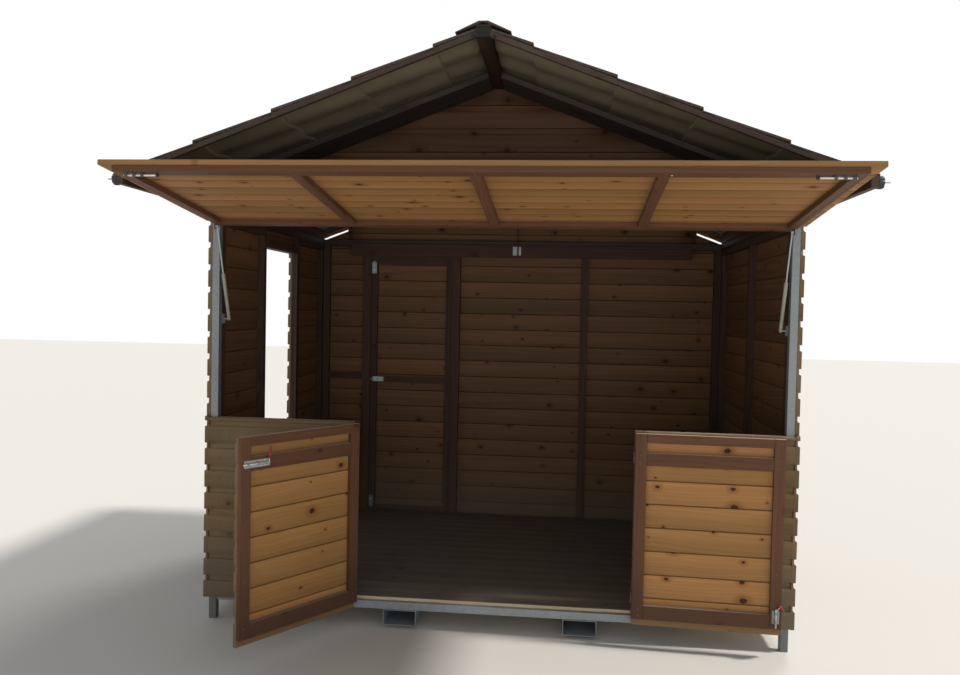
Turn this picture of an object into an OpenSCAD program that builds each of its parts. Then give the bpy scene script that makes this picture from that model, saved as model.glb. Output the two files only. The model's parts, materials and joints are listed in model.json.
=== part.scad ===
// Wooden market stall: a steel framed, timber clad kiosk with a raised serving hatch,
// two half-height front leaves, an open side doorway and a boarded back door.
// Working frame: x to the right seen from the front, y from the front frame face to the
// back, z up from the ground. place() moves everything to the middle of the footprint.

/* [Steel frame] */
// Width over the corner posts
frame_w = 3000; // [2600:10:3600]
// Depth over the corner posts
frame_d = 1960; // [1800:10:2600]
// Height of the base frame's underside above the ground
foot_h = 100; // [80:5:150]
// Side of the square steel section
bar = 40; // [30:5:50]
// Height of the underside of the eaves frame above the ground
eaves_z = 2143; // [2000:1:2300]
// Number of floor bearers between the side bars
bearers = 5; // [3:1:7]

/* [Fork pockets] */
// Width over one fork pocket
pocket_w = 172; // [140:2:200]
// Height over one fork pocket
pocket_h = 80; // [60:2:80]
// Wall of a fork pocket
pocket_t = 3; // [2:1:5]
// Distance between the middles of the two pockets
pocket_spacing = 934; // [600:2:1200]

/* [Timber] */
// Thickness of a shiplap board
clad_t = 22; // [18:1:28]
// Height that one board covers
clad_pitch = 117.5; // [90:0.5:145]
// Height of the wall boards' lower edge above the ground
clad_foot = 121; // [100:1:140]
// Depth of the scoop along a board's upper edge
scoop_d = 11; // [4:1:14]
// Height of the scooped strip that shows above a board's full face
scoop_h = 30; // [20:1:40]
// Depth and half width of the groove between boards on the inside
groove = 3; // [1:0.5:4]
// Thickness of the battens on the moving leaves
batten_t = 25; // [20:1:35]
// Width of a plain batten
batten_w = 45; // [38:1:60]
// Depth of the wall studs behind the boards
stud_d = 40; // [30:1:50]
// Thickness of the floor boards
floor_t = 18; // [15:1:25]

/* [Front] */
// Height of the half walls and of the leaves above the ground
counter_z = 1080; // [950:5:1200]
// Distance between the two leaf hinge axes
leaf_axes_w = 1440; // [1200:2:1600]
// Gap between the free edges of the closed leaves
leaf_gap = 8; // [8:1:20]
// Height of a leaf's lower edge above the ground
leaf_z = 118; // [115:1:150]
// Angle by which the left leaf stands open
left_leaf_open = 123.5; // [0:0.5:178]
// Angle by which the right leaf stands open
right_leaf_open = 177; // [0:0.5:178]
// Width of the leaf stiles
stile_w = 55; // [45:1:70]
// Width of the second rail of a leaf and of the hatch's long rails
rail_w = 65; // [45:1:80]
// Clear strip between the top rail and the second rail
strip_h = 48; // [35:1:80]
// Height of a leaf's bottom rail
foot_rail_h = 70; // [45:1:90]
// How far the boards hang below a leaf's frame
lip_h = 37; // [20:1:40]

/* [Hatch] */
// How far the hatch boards pass the posts on each side
hatch_lap = 10; // [5:1:20]
// Gap between the hatch frame and each post
hatch_side_gap = 8; // [5:1:20]
// Gap between the closed hatch and the leaves and half walls below it
hatch_foot_gap = 13; // [8:1:30]
// Distance of the hatch hinge axis below the eaves frame
hatch_axis_drop = 5; // [3:1:20]
// Angle by which the open hatch rises above level
hatch_raise = 6.2; // [0:0.1:7]
// Distance between the middles of the hatch's divider battens
hatch_bay = 720; // [600:5:800]

/* [Doorways] */
// Distance from the front frame face to the side doorway
side_door_y = 700; // [500:5:900]
// Width of the side doorway
side_door_w = 585; // [500:5:800]
// Height of the side doorway's head above the ground
side_door_z = 2030; // [1900:5:2060]
// Distance from the wall's left end to the back doorway
back_door_in = 390; // [200:5:700]
// Width of the back doorway
back_door_w = 640; // [560:5:760]
// Height of the back doorway's head above the ground
back_door_z = 2050; // [1900:5:2060]

/* [Roof] */
// Pitch of the roof
roof_pitch = 21; // [15:1:25]
// Height of the roof line above the tops of the posts, at their outer faces
plate_h = 58.2; // [40:0.1:90]
// Depth of the barge boards, measured upright
rafter_h = 24; // [20:1:40]
// Width of the boards under the sheets in front of the front gable
soffit_w = 236; // [120:2:260]
// Thickness of those boards
soffit_t = 28; // [18:1:35]
// Overhang of the roof beyond each side frame face
overhang_side = 66; // [40:1:150]
// Overhang of the roof in front of the front frame face
overhang_front = 840; // [400:5:900]
// Overhang of the roof behind the back boards
overhang_back = 60; // [30:5:200]
// Thickness of the barge boards
barge_t = 20; // [15:1:30]
// Run of one tile row, measured level
tile_run = 340; // [280:5:400]
// Height of the step at each tile row's nose
tile_step = 14; // [8:1:20]
// Sheet thickness
sheet_t = 4; // [3:0.5:8]
// Distance from wave to wave across the sheets
wave_pitch = 240; // [120:2:260]
// Height of the sheet waves
wave_h = 12; // [6:1:24]
// Half width of the ridge cap
cap_w = 115; // [90:1:160]

/* [Gas struts] */
// Distance of each strut from the inner face of the posts
strut_in = 30; // [24:1:40]
// Depth of the strut's lower pivot behind the front frame face
strut_y = 60; // [50:1:70]
// Distance of the strut's lower pivot below the hatch hinge axis
strut_fall = 538; // [480:1:600]
// Distance of the strut's upper end from the hinge axis, along the hatch
strut_arm = 60; // [50:1:80]
// Distance of the strut's upper end below the hatch frame
strut_drop = 13; // [12:1:20]
// Radius of the strut's cylinder
strut_r = 9; // [8:0.5:11]
// Radius of the strut's rod
rod_r = 4; // [3:0.5:5]
// Length of the strut's cylinder
cylinder_l = 250; // [200:5:300]

/* [Hidden] */
$fn = 32;

// Colours
steel_c = "silver";
dark_steel_c = "dimgray";
brown_c = "saddlebrown";
dark_c = "#4a3326";
pine_c = "burlywood";
weathered_c = "#8a6a48";
sheet_c = "#4a4038";
floor_c = "#5a5248";

// Clearance between pieces that move past each other
clear = 5;
// Gap left where one frame member butts against another
butt = 0.4;
// Gap between the side boards and the roof sheets
roof_clear = 8;
// Distance from a hinge axis to the face of the leaf that it carries
hinge_off = 8;
// Distance from a hinge axis to the edge of its leaf
hinge_edge = 3;
// Hinge flap, barrel and pin
flap_t = 3;
flap_w = 60;
flap_h = 60;
barrel_r = 6;
barrel_h = 20;
pin_r = 3;
pin_clear = 0.05;
end_clear = 0.3;

base_top = foot_h + bar;
floor_top = base_top + floor_t;
post_top = eaves_z + bar;
inner_x = frame_w / 2 - bar;
roof_tan = tan(roof_pitch);
sheet_z = post_top + plate_h + roof_tan * frame_w / 2;
ridge_z = sheet_z - rafter_h;
eaves_x = frame_w / 2 + overhang_side;
roof_front = -overhang_front;
roof_back = frame_d + clad_t + overhang_back;
floor_front = batten_t + clear;
floor_side = inner_x - 2;

// Hatch axis, size and swing
hatch_axis_z = eaves_z - hatch_axis_drop;
hatch_l = hatch_axis_z - counter_z - hatch_foot_gap;
hatch_w = frame_w + 2 * hatch_lap;
hatch_frame_w = 2 * (inner_x - hatch_side_gap);
hatch_axis_y = -(clad_t + clear + hinge_off);
hatch_swing = 90 + hatch_raise;
hatch_back = hinge_off + clad_t;
hatch_inner = hatch_back + batten_t;
hatch_top_gap = 6;

// Leaf swing
leaf_axis_y = -(clad_t + hinge_off);
leaf_l = (leaf_axes_w - leaf_gap) / 2;
leaf_frame_z = leaf_z + lip_h;
leaf_rail_z = counter_z - batten_w - strip_h - rail_w;

// Back door
back_door_x0 = -frame_w / 2 + back_door_in;
back_door_x1 = back_door_x0 + back_door_w;
door_edge = 5;
door_axis_x = back_door_x1 - door_edge + hinge_edge;
door_axis_y = frame_d + clad_t + hinge_off;
door_z = base_top + door_edge;
// Ledge of the back door and rail of the back wall, at about half height
ledge_z = (door_z + back_door_z) / 2 + 22.5;
back_rail_z = ledge_z + 20;
// Stops that the back door shuts against: they pass its edges by 8 mm on the inside
stop_w = door_edge + 8;
stop_t = 8;

// The foremost and rearmost points of the stall as it stands, which place its middle
front_y = hatch_axis_y - hatch_l * cos(hatch_raise) - hatch_back * sin(hatch_raise);
middle_y = (front_y + roof_back) / 2;

// Gas struts: the upper end follows from the open hatch, the lean and length from both ends
strut_x = inner_x - strut_in;
strut_z = hatch_axis_z - strut_fall;
strut_b = hatch_inner + strut_drop;
strut_top_y = hatch_axis_y - strut_arm * cos(hatch_raise) - strut_b * sin(hatch_raise);
strut_top_z = hatch_axis_z + strut_arm * sin(hatch_raise) - strut_b * cos(hatch_raise);
strut_lean = atan2(strut_y - strut_top_y, strut_top_z - strut_z);
strut_l = norm([strut_y - strut_top_y, strut_top_z - strut_z]);
eye_r = 7;
eye_w = 12;
rod_overlap = 10;
rod_clear = 0.5;
bracket_w = 32;
bracket_h = 50;
bracket_t = 3;

// The curve of a scoop: shares of its depth, and heights above its lower end
scoop_curve = [[0, 0], [0.55, 1.2], [0.87, 4], [1, 10]];

function roof_line(x, z0) = z0 - roof_tan * abs(x);

// Section of a stack of boards from z0 to z1, with a joint at datum and one at every pitch.
// Each board's scoop starts scoop_h below the joint over it. A joint so near the lower edge
// that the scoop under it would be cut is left out.
function board_section(z0, z1, datum) =
  let(
    n0 = floor((z0 + scoop_h + 1 - datum) / clad_pitch) + 1,
    n1 = ceil((z1 - datum) / clad_pitch),
    last_scoop = datum + n1 * clad_pitch - scoop_h
  )
  concat(
    [[0, z0], [clad_t, z0]],
    [for (n = [n0 : n1]) let(joint = datum + n * clad_pitch) each [
      for (c = scoop_curve) if (joint - scoop_h + c[1] < z1 - 1)
        [clad_t - c[0] * scoop_d, joint - scoop_h + c[1]],
      for (e = [1, 0]) if (joint < z1 - 1) [clad_t - e * scoop_d, joint]
    ]],
    [[clad_t - (z1 > last_scoop + 1 ? scoop_d : 0), z1], [0, z1]],
    [for (n = [n1 - 1 : -1 : n0]) for (k = [1, 0, -1])
      let(z = datum + n * clad_pitch)
      if (z < z1 - 2 * groove) [k == 0 ? groove : 0, z + k * groove]]
  );

// Boards along x from 0 to len, with the scooped face towards +y
module boards(len, z0, z1, datum = clad_foot) {
  rotate([90, 0, 90]) linear_extrude(len) polygon(board_section(z0, z1, datum));
}

// Boards on the right wall between two depths, scooped face towards +x
module right_boards(y0, y1, z0, z1) {
  translate([frame_w / 2, y1, 0]) rotate([0, 0, -90]) boards(y1 - y0, z0, z1);
}

module mirror_x() {
  mirror([1, 0, 0]) children();
}

// A box given by its two corners
module box(a, b) {
  translate(a) cube(b - a);
}

module place() {
  translate([0, -middle_y, 0]) children();
}

// Steel frame
module base_frame() {
  color(steel_c) {
    box([-inner_x, clear, foot_h], [inner_x, clear + bar, base_top]);
    box([-inner_x, frame_d - bar, foot_h], [inner_x, frame_d, base_top]);
    for (s = [-1, 1]) {
      translate([s * (inner_x + bar / 2) - bar / 2, bar, foot_h]) cube([bar, frame_d - 2 * bar, bar]);
    }
    for (i = [1 : bearers]) {
      translate([-inner_x + i * 2 * inner_x / (bearers + 1) - bar / 2, clear + bar + butt, foot_h])
        cube([bar, frame_d - clear - 2 * bar - 2 * butt, bar]);
    }
  }
}

module fork_pockets() {
  color(steel_c) for (s = [-1, 1]) {
    translate([s * pocket_spacing / 2, 0, foot_h - pocket_h / 2]) difference() {
      translate([-pocket_w / 2, 0, -pocket_h / 2]) cube([pocket_w, frame_d, pocket_h]);
      translate([-pocket_w / 2 + pocket_t, -1, -pocket_h / 2 + pocket_t])
        cube([pocket_w - 2 * pocket_t, frame_d + 2, pocket_h - 2 * pocket_t]);
    }
  }
}

module corner_posts() {
  color(steel_c) for (x = [-frame_w / 2, inner_x]) for (y = [0, frame_d - bar]) {
    translate([x, y, 0]) cube([bar, bar, post_top]);
  }
}

module eaves_frame() {
  color(steel_c) {
    for (y = [0, frame_d - bar]) {
      box([-inner_x, y, eaves_z], [inner_x, y + bar, post_top]);
    }
    for (x = [-frame_w / 2, inner_x]) {
      box([x, bar, eaves_z], [x + bar, frame_d - bar, post_top]);
    }
  }
}

module floor_boards() {
  color(floor_c) box([-floor_side, floor_front, base_top], [floor_side, frame_d - stud_d - 2, floor_top]);
}

// Front half walls
module front_right_wall() {
  x0 = leaf_axes_w / 2 + hinge_edge;
  color(weathered_c) translate([x0, 0, 0]) mirror([0, 1, 0]) boards(frame_w / 2 - x0, clad_foot, counter_z);
}

module front_wall_frames() {
  x0 = leaf_axes_w / 2 + hinge_edge;
  color(brown_c) for (s = [0, 1]) mirror([s, 0, 0]) {
    box([x0, 0, base_top], [x0 + batten_w, batten_t, counter_z]);
    box([inner_x - batten_w, 0, base_top], [inner_x, batten_t, counter_z]);
    for (z = [base_top, counter_z - batten_w]) {
      box([x0 + batten_w + butt, 0, z], [inner_x - batten_w - butt, batten_t, z + batten_w]);
    }
  }
}

// Side walls
side_top = roof_line(frame_w / 2 + clad_t, sheet_z) - roof_clear;

module side_panel(y0, y1, z0, z1) {
  color(weathered_c) difference() {
    right_boards(y0, y1, z0, z1);
    translate([frame_w / 2 - 1, y0 - 1, counter_z + clear]) cube([clad_t + 2, 1 - y0, z1]);
  }
}

module right_wall() {
  side_panel(-clad_t, frame_d + clad_t, clad_foot, side_top);
}

module left_wall_front() {
  mirror_x() side_panel(-clad_t, side_door_y, clad_foot, side_top);
}

module left_wall_rear() {
  color(weathered_c) mirror_x()
    right_boards(side_door_y + side_door_w, frame_d + clad_t, clad_foot, side_top);
}

module left_wall_head() {
  color(weathered_c) mirror_x()
    right_boards(side_door_y, side_door_y + side_door_w, side_door_z, side_top);
}

// An upright batten on the inside of a side wall, between two depths
module side_stud(y0, y1) {
  box([inner_x, y0, base_top], [inner_x + stud_d, y1, eaves_z]);
}

// A level batten on the inside of a side wall, butted between two studs
module side_rail(y0, y1, z0, z1) {
  box([inner_x, y0 + butt, z0], [inner_x + stud_d, y1 - butt, z1]);
}

module right_wall_frame() {
  y_mid = frame_d / 2;
  color(dark_c) {
    side_stud(bar, bar + batten_w);
    side_stud(frame_d - bar - batten_w, frame_d - bar);
    side_stud(y_mid - batten_w / 2, y_mid + batten_w / 2);
    for (z = [base_top, eaves_z - batten_w]) {
      side_rail(bar + batten_w, y_mid - batten_w / 2, z, z + batten_w);
      side_rail(y_mid + batten_w / 2, frame_d - bar - batten_w, z, z + batten_w);
    }
  }
}

module left_wall_frame() {
  y0 = side_door_y - batten_w;
  y1 = side_door_y + side_door_w;
  color(dark_c) mirror_x() {
    side_stud(bar, bar + batten_w);
    side_stud(y0, side_door_y);
    side_stud(y1, y1 + batten_w);
    side_stud(frame_d - bar - batten_w, frame_d - bar);
    side_rail(side_door_y, y1, side_door_z, side_door_z + batten_w);
    for (z = [base_top, eaves_z - batten_w]) {
      side_rail(bar + batten_w, y0, z, z + batten_w);
      side_rail(y1 + batten_w, frame_d - bar - batten_w, z, z + batten_w);
    }
  }
}

// Back wall
module back_boards(x0, x1, z0, z1) {
  color(weathered_c) translate([x0, frame_d, 0]) boards(x1 - x0, z0, z1);
}

module back_wall_left() {
  back_boards(-frame_w / 2, back_door_x0, clad_foot, eaves_z);
}

module back_wall_right() {
  back_boards(back_door_x1, frame_w / 2, clad_foot, eaves_z);
}

module back_wall_head() {
  back_boards(back_door_x0, back_door_x1, back_door_z, eaves_z);
}

module back_wall_frame() {
  y0 = frame_d - stud_d;
  color(dark_c) {
    for (x = [-inner_x, back_door_x0 - batten_w, back_door_x1, -back_door_x1, inner_x - batten_w]) {
      box([x, y0, base_top], [x + batten_w, frame_d, eaves_z]);
    }
    box([back_door_x0 + butt, y0, back_door_z], [back_door_x1 - butt, frame_d, back_door_z + batten_w]);
    translate([-inner_x + batten_w + butt, y0, back_rail_z])
      cube([back_door_x0 + inner_x - 2 * batten_w - 2 * butt, stud_d, batten_w]);
    for (x = [back_door_x0, back_door_x1 - stop_w]) {
      box([x, y0, base_top], [x + stop_w, y0 + stop_t, back_door_z]);
    }
    box([back_door_x0 + stop_w, y0, back_door_z - stop_w], [back_door_x1 - stop_w, y0 + stop_t, back_door_z]);
  }
}

tie_h = 92;
tie_t = 25;
tie_z = eaves_z - 79;
tie_half_w = inner_x - 210;
strap_w = 12;
strap_t = 5;

module back_tie_rail() {
  y1 = frame_d - stud_d;
  color(dark_c) box([-tie_half_w, y1 - tie_t, tie_z], [tie_half_w, y1, tie_z + tie_h]);
  color(dark_steel_c) translate([-strap_w / 2, y1 - tie_t - strap_t - butt, tie_z])
    cube([strap_w, strap_t, ridge_z - beam_drop - tie_z]);
}

// Gables and roof timbers
module gable_cut(y0, y1) {
  translate([0, y1, 0]) rotate([90, 0, 0]) linear_extrude(y1 - y0)
    polygon([
      [-frame_w / 2, eaves_z - 1], [frame_w / 2, eaves_z - 1],
      [frame_w / 2, roof_line(frame_w / 2, sheet_z)], [0, sheet_z],
      [-frame_w / 2, roof_line(frame_w / 2, sheet_z)]
    ]);
}

module gable_boards() {
  intersection() {
    translate([-frame_w / 2, 0, 0]) boards(frame_w, eaves_z, sheet_z);
    gable_cut(-1, clad_t + 1);
  }
}

module front_gable() {
  color(weathered_c) mirror([0, 1, 0]) gable_boards();
}

// Slots through the back gable, parallel to the roof, where daylight comes in at the corners
slit_drop = 56;
slit_h = 16;
slit_l = 210;

module back_gable() {
  x0 = frame_w / 2 - slit_l;
  x1 = frame_w / 2 + 1;
  color(weathered_c) translate([0, frame_d, 0]) difference() {
    gable_boards();
    for (s = [0, 1]) mirror([s, 0, 0]) {
      translate([0, clad_t + 1, 0]) rotate([90, 0, 0]) linear_extrude(clad_t + 2)
        polygon([for (c = [[x0, slit_drop], [x0, slit_drop + slit_h], [x1, slit_drop + slit_h], [x1, slit_drop]])
          [c[0], roof_line(c[0], sheet_z - c[1])]]);
    }
  }
}

// One sloping pair of boards between two depths, as deep as h and level-cut at cut_z
module sloping_pair(y0, y1, h, half_w, cut_z) {
  x0 = beam_w / 2;
  x_cut = (sheet_z - h - cut_z) / roof_tan;
  for (s = [0, 1]) mirror([s, 0, 0]) {
    translate([0, y1, 0]) rotate([90, 0, 0]) linear_extrude(y1 - y0)
      polygon(concat(
        [[x0, roof_line(x0, sheet_z - h)], [x0, roof_line(x0, sheet_z)], [half_w, roof_line(half_w, sheet_z)],
          [half_w, max(cut_z, roof_line(half_w, sheet_z - h))]],
        x_cut < half_w ? [[x_cut, cut_z]] : []
      ));
  }
}

beam_w = 60;
beam_drop = 8;
back_soffit_w = 45;
// Height over the eaves frame's underside at which the boards over the hatch stop
gable_seat = 20;

module soffit_boards() {
  color(dark_c) {
    sloping_pair(-clad_t - soffit_w, -clad_t, soffit_t, frame_w / 2, eaves_z + gable_seat);
    sloping_pair(frame_d - back_soffit_w, frame_d, soffit_t, frame_w / 2, eaves_z + gable_seat);
  }
}

// Rails under the eaves edges of the sheets, outside the swing of the hatch
rail_t = 28;
rail_drop = 36;
rail_in = 4;

module roof_edge_boards() {
  cut_z = hatch_axis_z + overhang_front * tan(hatch_raise) + clear;
  x0 = eaves_x - rail_in - rail_t;
  x1 = eaves_x - rail_in;
  z0 = roof_line(eaves_x, sheet_z) - rail_drop;
  color(brown_c) {
    sloping_pair(roof_front, roof_front + barge_t, rafter_h, frame_w / 2, cut_z);
    sloping_pair(roof_back - barge_t, roof_back, rafter_h, frame_w / 2, cut_z);
    for (s = [0, 1]) mirror([s, 0, 0]) {
      translate([0, roof_back, 0]) rotate([90, 0, 0]) linear_extrude(roof_len)
        polygon([[x0, z0], [x1, z0], [x1, sheet_seat(x1)], [x0, sheet_seat(x0)]]);
    }
  }
}

module ridge_beam() {
  z1 = roof_line(beam_w / 2, cap_z) - butt;
  color(dark_c) for (y = [[roof_front, -clad_t], [0, frame_d], [frame_d + clad_t, roof_back]]) {
    for (s = [-1, 1]) {
      translate([s * beam_w / 4 - beam_w / 4, y[0], ridge_z - beam_drop])
        cube([beam_w / 2, y[1] - y[0], z1 - ridge_z + beam_drop]);
    }
  }
}

module wall_plates() {
  x0 = inner_x;
  x1 = frame_w / 2;
  color(dark_c) for (s = [0, 1]) mirror([s, 0, 0]) {
    translate([0, frame_d - back_soffit_w, 0]) rotate([90, 0, 0]) linear_extrude(frame_d - back_soffit_w)
      polygon([[x0, post_top], [x1, post_top], [x1, roof_line(x1, sheet_z)], [x0, roof_line(x0, sheet_z)]]);
  }
}

// Roof sheets: rows of pressed tiles. Each row rises towards its nose, then steps down.
wave_turns = 8;
roof_len = roof_back - roof_front;
waves = roof_len / wave_pitch;
wave_points = round(waves * wave_turns);
// Shortest run of the row beside the ridge
least_row = 20;
rows = ceil((eaves_x - least_row) / tile_run);
first_nose = eaves_x - (rows - 1) * tile_run;
cap_flat = 19;
// Where each sheet starts beside the ridge beam
sheet_x0 = beam_w / 2 + 2;
cap_z = sheet_z + row_lift(cap_w, first_nose) + wave_h + sheet_t;

function wave_z(j) = wave_h * (1 - cos(360 * waves * j / wave_points)) / 2;
function nose_x(k) = first_nose + k * tile_run;
// Lift of a row over the roof line, at x, for the row that ends at a nose
function row_lift(x, nose) = tile_step * (1 - max(0, nose - x) / tile_run);
// Height of the lowest row's underside at x, where its waves are lowest
function sheet_seat(x) = roof_line(x, sheet_z) + row_lift(x, eaves_x);
// Points [x, lift] of one side of the sheet from ridge to eaves, with steps set back by inset
function sheet_steps(inset) = concat(
  [[sheet_x0, row_lift(sheet_x0, first_nose)]],
  [for (k = [0 : rows - 2]) for (e = [1, 0]) [nose_x(k) - inset, e * tile_step]],
  [[eaves_x, tile_step]]
);
function sheet_row(steps, j, t) = [for (s = steps)
  [s[0], roof_front + roof_len * j / wave_points, roof_line(s[0], sheet_z) + s[1] + wave_z(j) + t]];

module right_sheet() {
  top = sheet_steps(0);
  low = sheet_steps(sheet_t);
  n = len(top);
  m = wave_points;
  points = concat(
    [for (j = [0 : m]) each sheet_row(top, j, sheet_t)],
    [for (j = [0 : m]) each sheet_row(low, j, 0)]
  );
  low0 = (m + 1) * n;
  faces = concat(
    [for (j = [0 : m - 1]) for (i = [0 : n - 2])
      [j * n + i, (j + 1) * n + i, (j + 1) * n + i + 1, j * n + i + 1]],
    [for (j = [0 : m - 1]) for (i = [0 : n - 2])
      [low0 + j * n + i, low0 + j * n + i + 1, low0 + (j + 1) * n + i + 1, low0 + (j + 1) * n + i]],
    [for (j = [0 : m - 1])
      [j * n + n - 1, (j + 1) * n + n - 1, low0 + (j + 1) * n + n - 1, low0 + j * n + n - 1]],
    [for (j = [0 : m - 1]) [j * n, low0 + j * n, low0 + (j + 1) * n, (j + 1) * n]],
    [for (i = [0 : n - 2]) [i, i + 1, low0 + i + 1, low0 + i]],
    [for (i = [0 : n - 2]) [m * n + i + 1, m * n + i, low0 + m * n + i, low0 + m * n + i + 1]]
  );
  polyhedron(points, faces);
}

module right_roof() {
  color(sheet_c) right_sheet();
}

module left_roof() {
  color(sheet_c) mirror_x() right_sheet();
}

module ridge_cap() {
  edge_z = roof_line(cap_w, cap_z);
  color(sheet_c) translate([0, roof_back, 0]) rotate([90, 0, 0]) linear_extrude(roof_len)
    polygon([
      [-cap_w, edge_z], [-cap_w, edge_z + sheet_t], [-cap_flat, cap_z + sheet_t],
      [cap_flat, cap_z + sheet_t], [cap_w, edge_z + sheet_t], [cap_w, edge_z], [0, cap_z]
    ]);
}

// Hinges: the axis is z through the origin, and the closed leaf lies towards +x
module hinge_moving(flap = flap_w) {
  difference() {
    union() {
      cylinder(r = barrel_r, h = barrel_h - 2 * end_clear, center = true);
      translate([0, hinge_off - flap_t, -barrel_h / 2 + end_clear])
        cube([barrel_r + 1, flap_t, barrel_h - 2 * end_clear]);
      translate([barrel_r + 1, hinge_off - flap_t, -flap_h / 2]) cube([flap, flap_t, flap_h]);
    }
    cylinder(r = pin_r + pin_clear, h = barrel_h, center = true);
  }
}

// Fixed half, with its flap on a face that lies off behind the axis
module hinge_fixed(off = hinge_off) {
  cylinder(r = pin_r, h = flap_h, center = true);
  for (s = [-1, 1]) {
    translate([0, 0, s * (barrel_h / 2 + (flap_h - barrel_h) / 4)])
      cylinder(r = barrel_r, h = (flap_h - barrel_h) / 2, center = true);
    translate([-barrel_r - 1, barrel_r - flap_t, s * (flap_h + barrel_h) / 4 - (flap_h - barrel_h) / 4])
      cube([barrel_r + 1, off - barrel_r + flap_t, (flap_h - barrel_h) / 2]);
  }
  translate([-barrel_r - 1 - flap_w / 2, off - flap_t, -flap_h / 2]) cube([flap_w / 2 + 1, flap_t, flap_h]);
}

leaf_hinge_z = [leaf_z + 130, counter_z - 130];
hatch_hinge_x = [for (f = [-1, -0.33, 0.33, 1]) f * (hatch_frame_w / 2 - 152)];
door_hinge_z = [door_z + 185, (door_z + back_door_z) / 2, back_door_z - 180];

// Clamp knob on a threaded stud, standing along x
knob_w = 53;
knob_t = 25;
knob_notches = 7;
knob_notch_r = 5;
stud_r = 3;
stud_out = 28;

module clamp_knob() {
  rotate([0, 90, 0]) {
    difference() {
      cylinder(r = knob_w / 2, h = knob_t);
      for (k = [0 : knob_notches - 1]) {
        rotate([0, 0, k * 360 / knob_notches])
          translate([knob_w / 2, 0, -1]) cylinder(r = knob_notch_r, h = knob_t + 2);
      }
    }
    cylinder(r = stud_r, h = knob_t + stud_out);
  }
}

module fixed_fittings() {
  color(dark_steel_c) {
    for (s = [0, 1]) mirror([s, 0, 0]) {
      translate([eaves_x - rail_in, roof_front + knob_w / 2, roof_line(eaves_x, sheet_z) - rail_drop / 3])
        clamp_knob();
    }
    for (s = [0, 1]) mirror([s, 0, 0]) for (z = leaf_hinge_z) {
      translate([-leaf_axes_w / 2, leaf_axis_y, z]) hinge_fixed();
    }
    for (x = hatch_hinge_x) {
      translate([x, hatch_axis_y, hatch_axis_z]) rotate([0, 90, 0]) hinge_fixed(hinge_off + clear);
    }
    for (z = door_hinge_z) {
      translate([door_axis_x, door_axis_y, z]) rotate([0, 0, 180]) hinge_fixed();
    }
    for (s = [0, 1]) mirror([s, 0, 0]) {
      translate([inner_x - bracket_t, strut_y - bracket_w / 2, strut_z - bracket_h / 2])
        cube([bracket_t, bracket_w, bracket_h]);
      translate([strut_x - eye_w / 2, strut_y, strut_z]) rotate([0, 90, 0])
        cylinder(r = pin_r, h = inner_x - strut_x + eye_w / 2 - bracket_t / 2);
    }
  }
}

// Tower bolts: plate, shoot, staples and knob
bolt_w = 38;
bolt_t = 2;
shoot_r = 5;
staple_l = 16;
staple_w = 20;
staple_h = 15;
knob_r = 4;
knob_h = 16;
bolt_inset = 8;
leaf_bolt_l = 150;
foot_bolt_l = 100;
// Lower end of the right leaf's upright bolt, drawn back over the floor
foot_bolt_z = max(leaf_frame_z, floor_top + clear);
hatch_bolt_l = 145;
door_bolt_l = 100;

// A tower bolt on a face: it lies along x on z = 0, with its shoot towards +x
module tower_bolt(len) {
  translate([0, -bolt_w / 2, 0]) cube([len, bolt_w, bolt_t]);
  for (x = [bolt_inset, (len - staple_l) / 2 + 2, len - staple_l - bolt_inset]) {
    translate([x, -staple_w / 2, bolt_t]) cube([staple_l, staple_w, staple_h]);
  }
  translate([0, 0, bolt_t + staple_h / 2]) rotate([0, 90, 0]) cylinder(r = shoot_r, h = len);
  translate([len / 3, 0, bolt_t + staple_h / 2]) cylinder(r = knob_r, h = knob_h);
}

// Hatch: modelled closed, hanging from its axis, with its inside towards +y
module hatch_place() {
  translate([0, hatch_axis_y, hatch_axis_z]) rotate([-hatch_swing, 0, 0]) children();
}

module hatch_boards() {
  color(pine_c) hatch_place() translate([-hatch_w / 2, hatch_back, 0]) mirror([0, 1, 0])
    boards(hatch_w, -hatch_l, -hatch_top_gap, -hatch_l);
}

hatch_rail_inset = 4;

module hatch_frame() {
  x1 = hatch_frame_w / 2;
  z0 = -hatch_l + hatch_rail_inset;
  z1 = -hatch_top_gap - 2;
  color(brown_c) hatch_place() {
    box([-x1, hatch_back, z0], [x1, hatch_inner, z0 + rail_w]);
    box([-x1, hatch_back, z1 - rail_w], [x1, hatch_inner, z1]);
    for (x = [-x1, -hatch_bay - batten_w / 2, -batten_w / 2, hatch_bay - batten_w / 2, x1 - batten_w]) {
      box([x, hatch_back, z0 + rail_w + butt], [x + batten_w, hatch_inner, z1 - rail_w - butt]);
    }
  }
}

// Distance of the hatch's bolts from the ends of its front rail
hatch_bolt_in = 36;

module hatch_fittings() {
  x1 = hatch_frame_w / 2;
  z0 = -hatch_l + hatch_rail_inset;
  stud_x = strut_x + eye_w / 2 + 2;
  color(dark_steel_c) hatch_place() {
    for (x = hatch_hinge_x) {
      translate([x, 0, 0]) rotate([0, 90, 0]) hinge_moving(flap_w);
    }
    for (s = [0, 1]) mirror([s, 0, 0]) {
      translate([x1 - hatch_bolt_in - hatch_bolt_l, hatch_inner, z0 + rail_w / 2])
        rotate([-90, 0, 0]) tower_bolt(hatch_bolt_l);
      translate([stud_x + 3, hatch_inner, -strut_arm - bracket_w / 2])
        cube([bracket_t, strut_drop + bracket_w / 2, bracket_w]);
      translate([stud_x, strut_b, -strut_arm]) rotate([0, 90, 0]) cylinder(r = pin_r, h = 3 + bracket_t / 2);
    }
  }
}

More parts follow.
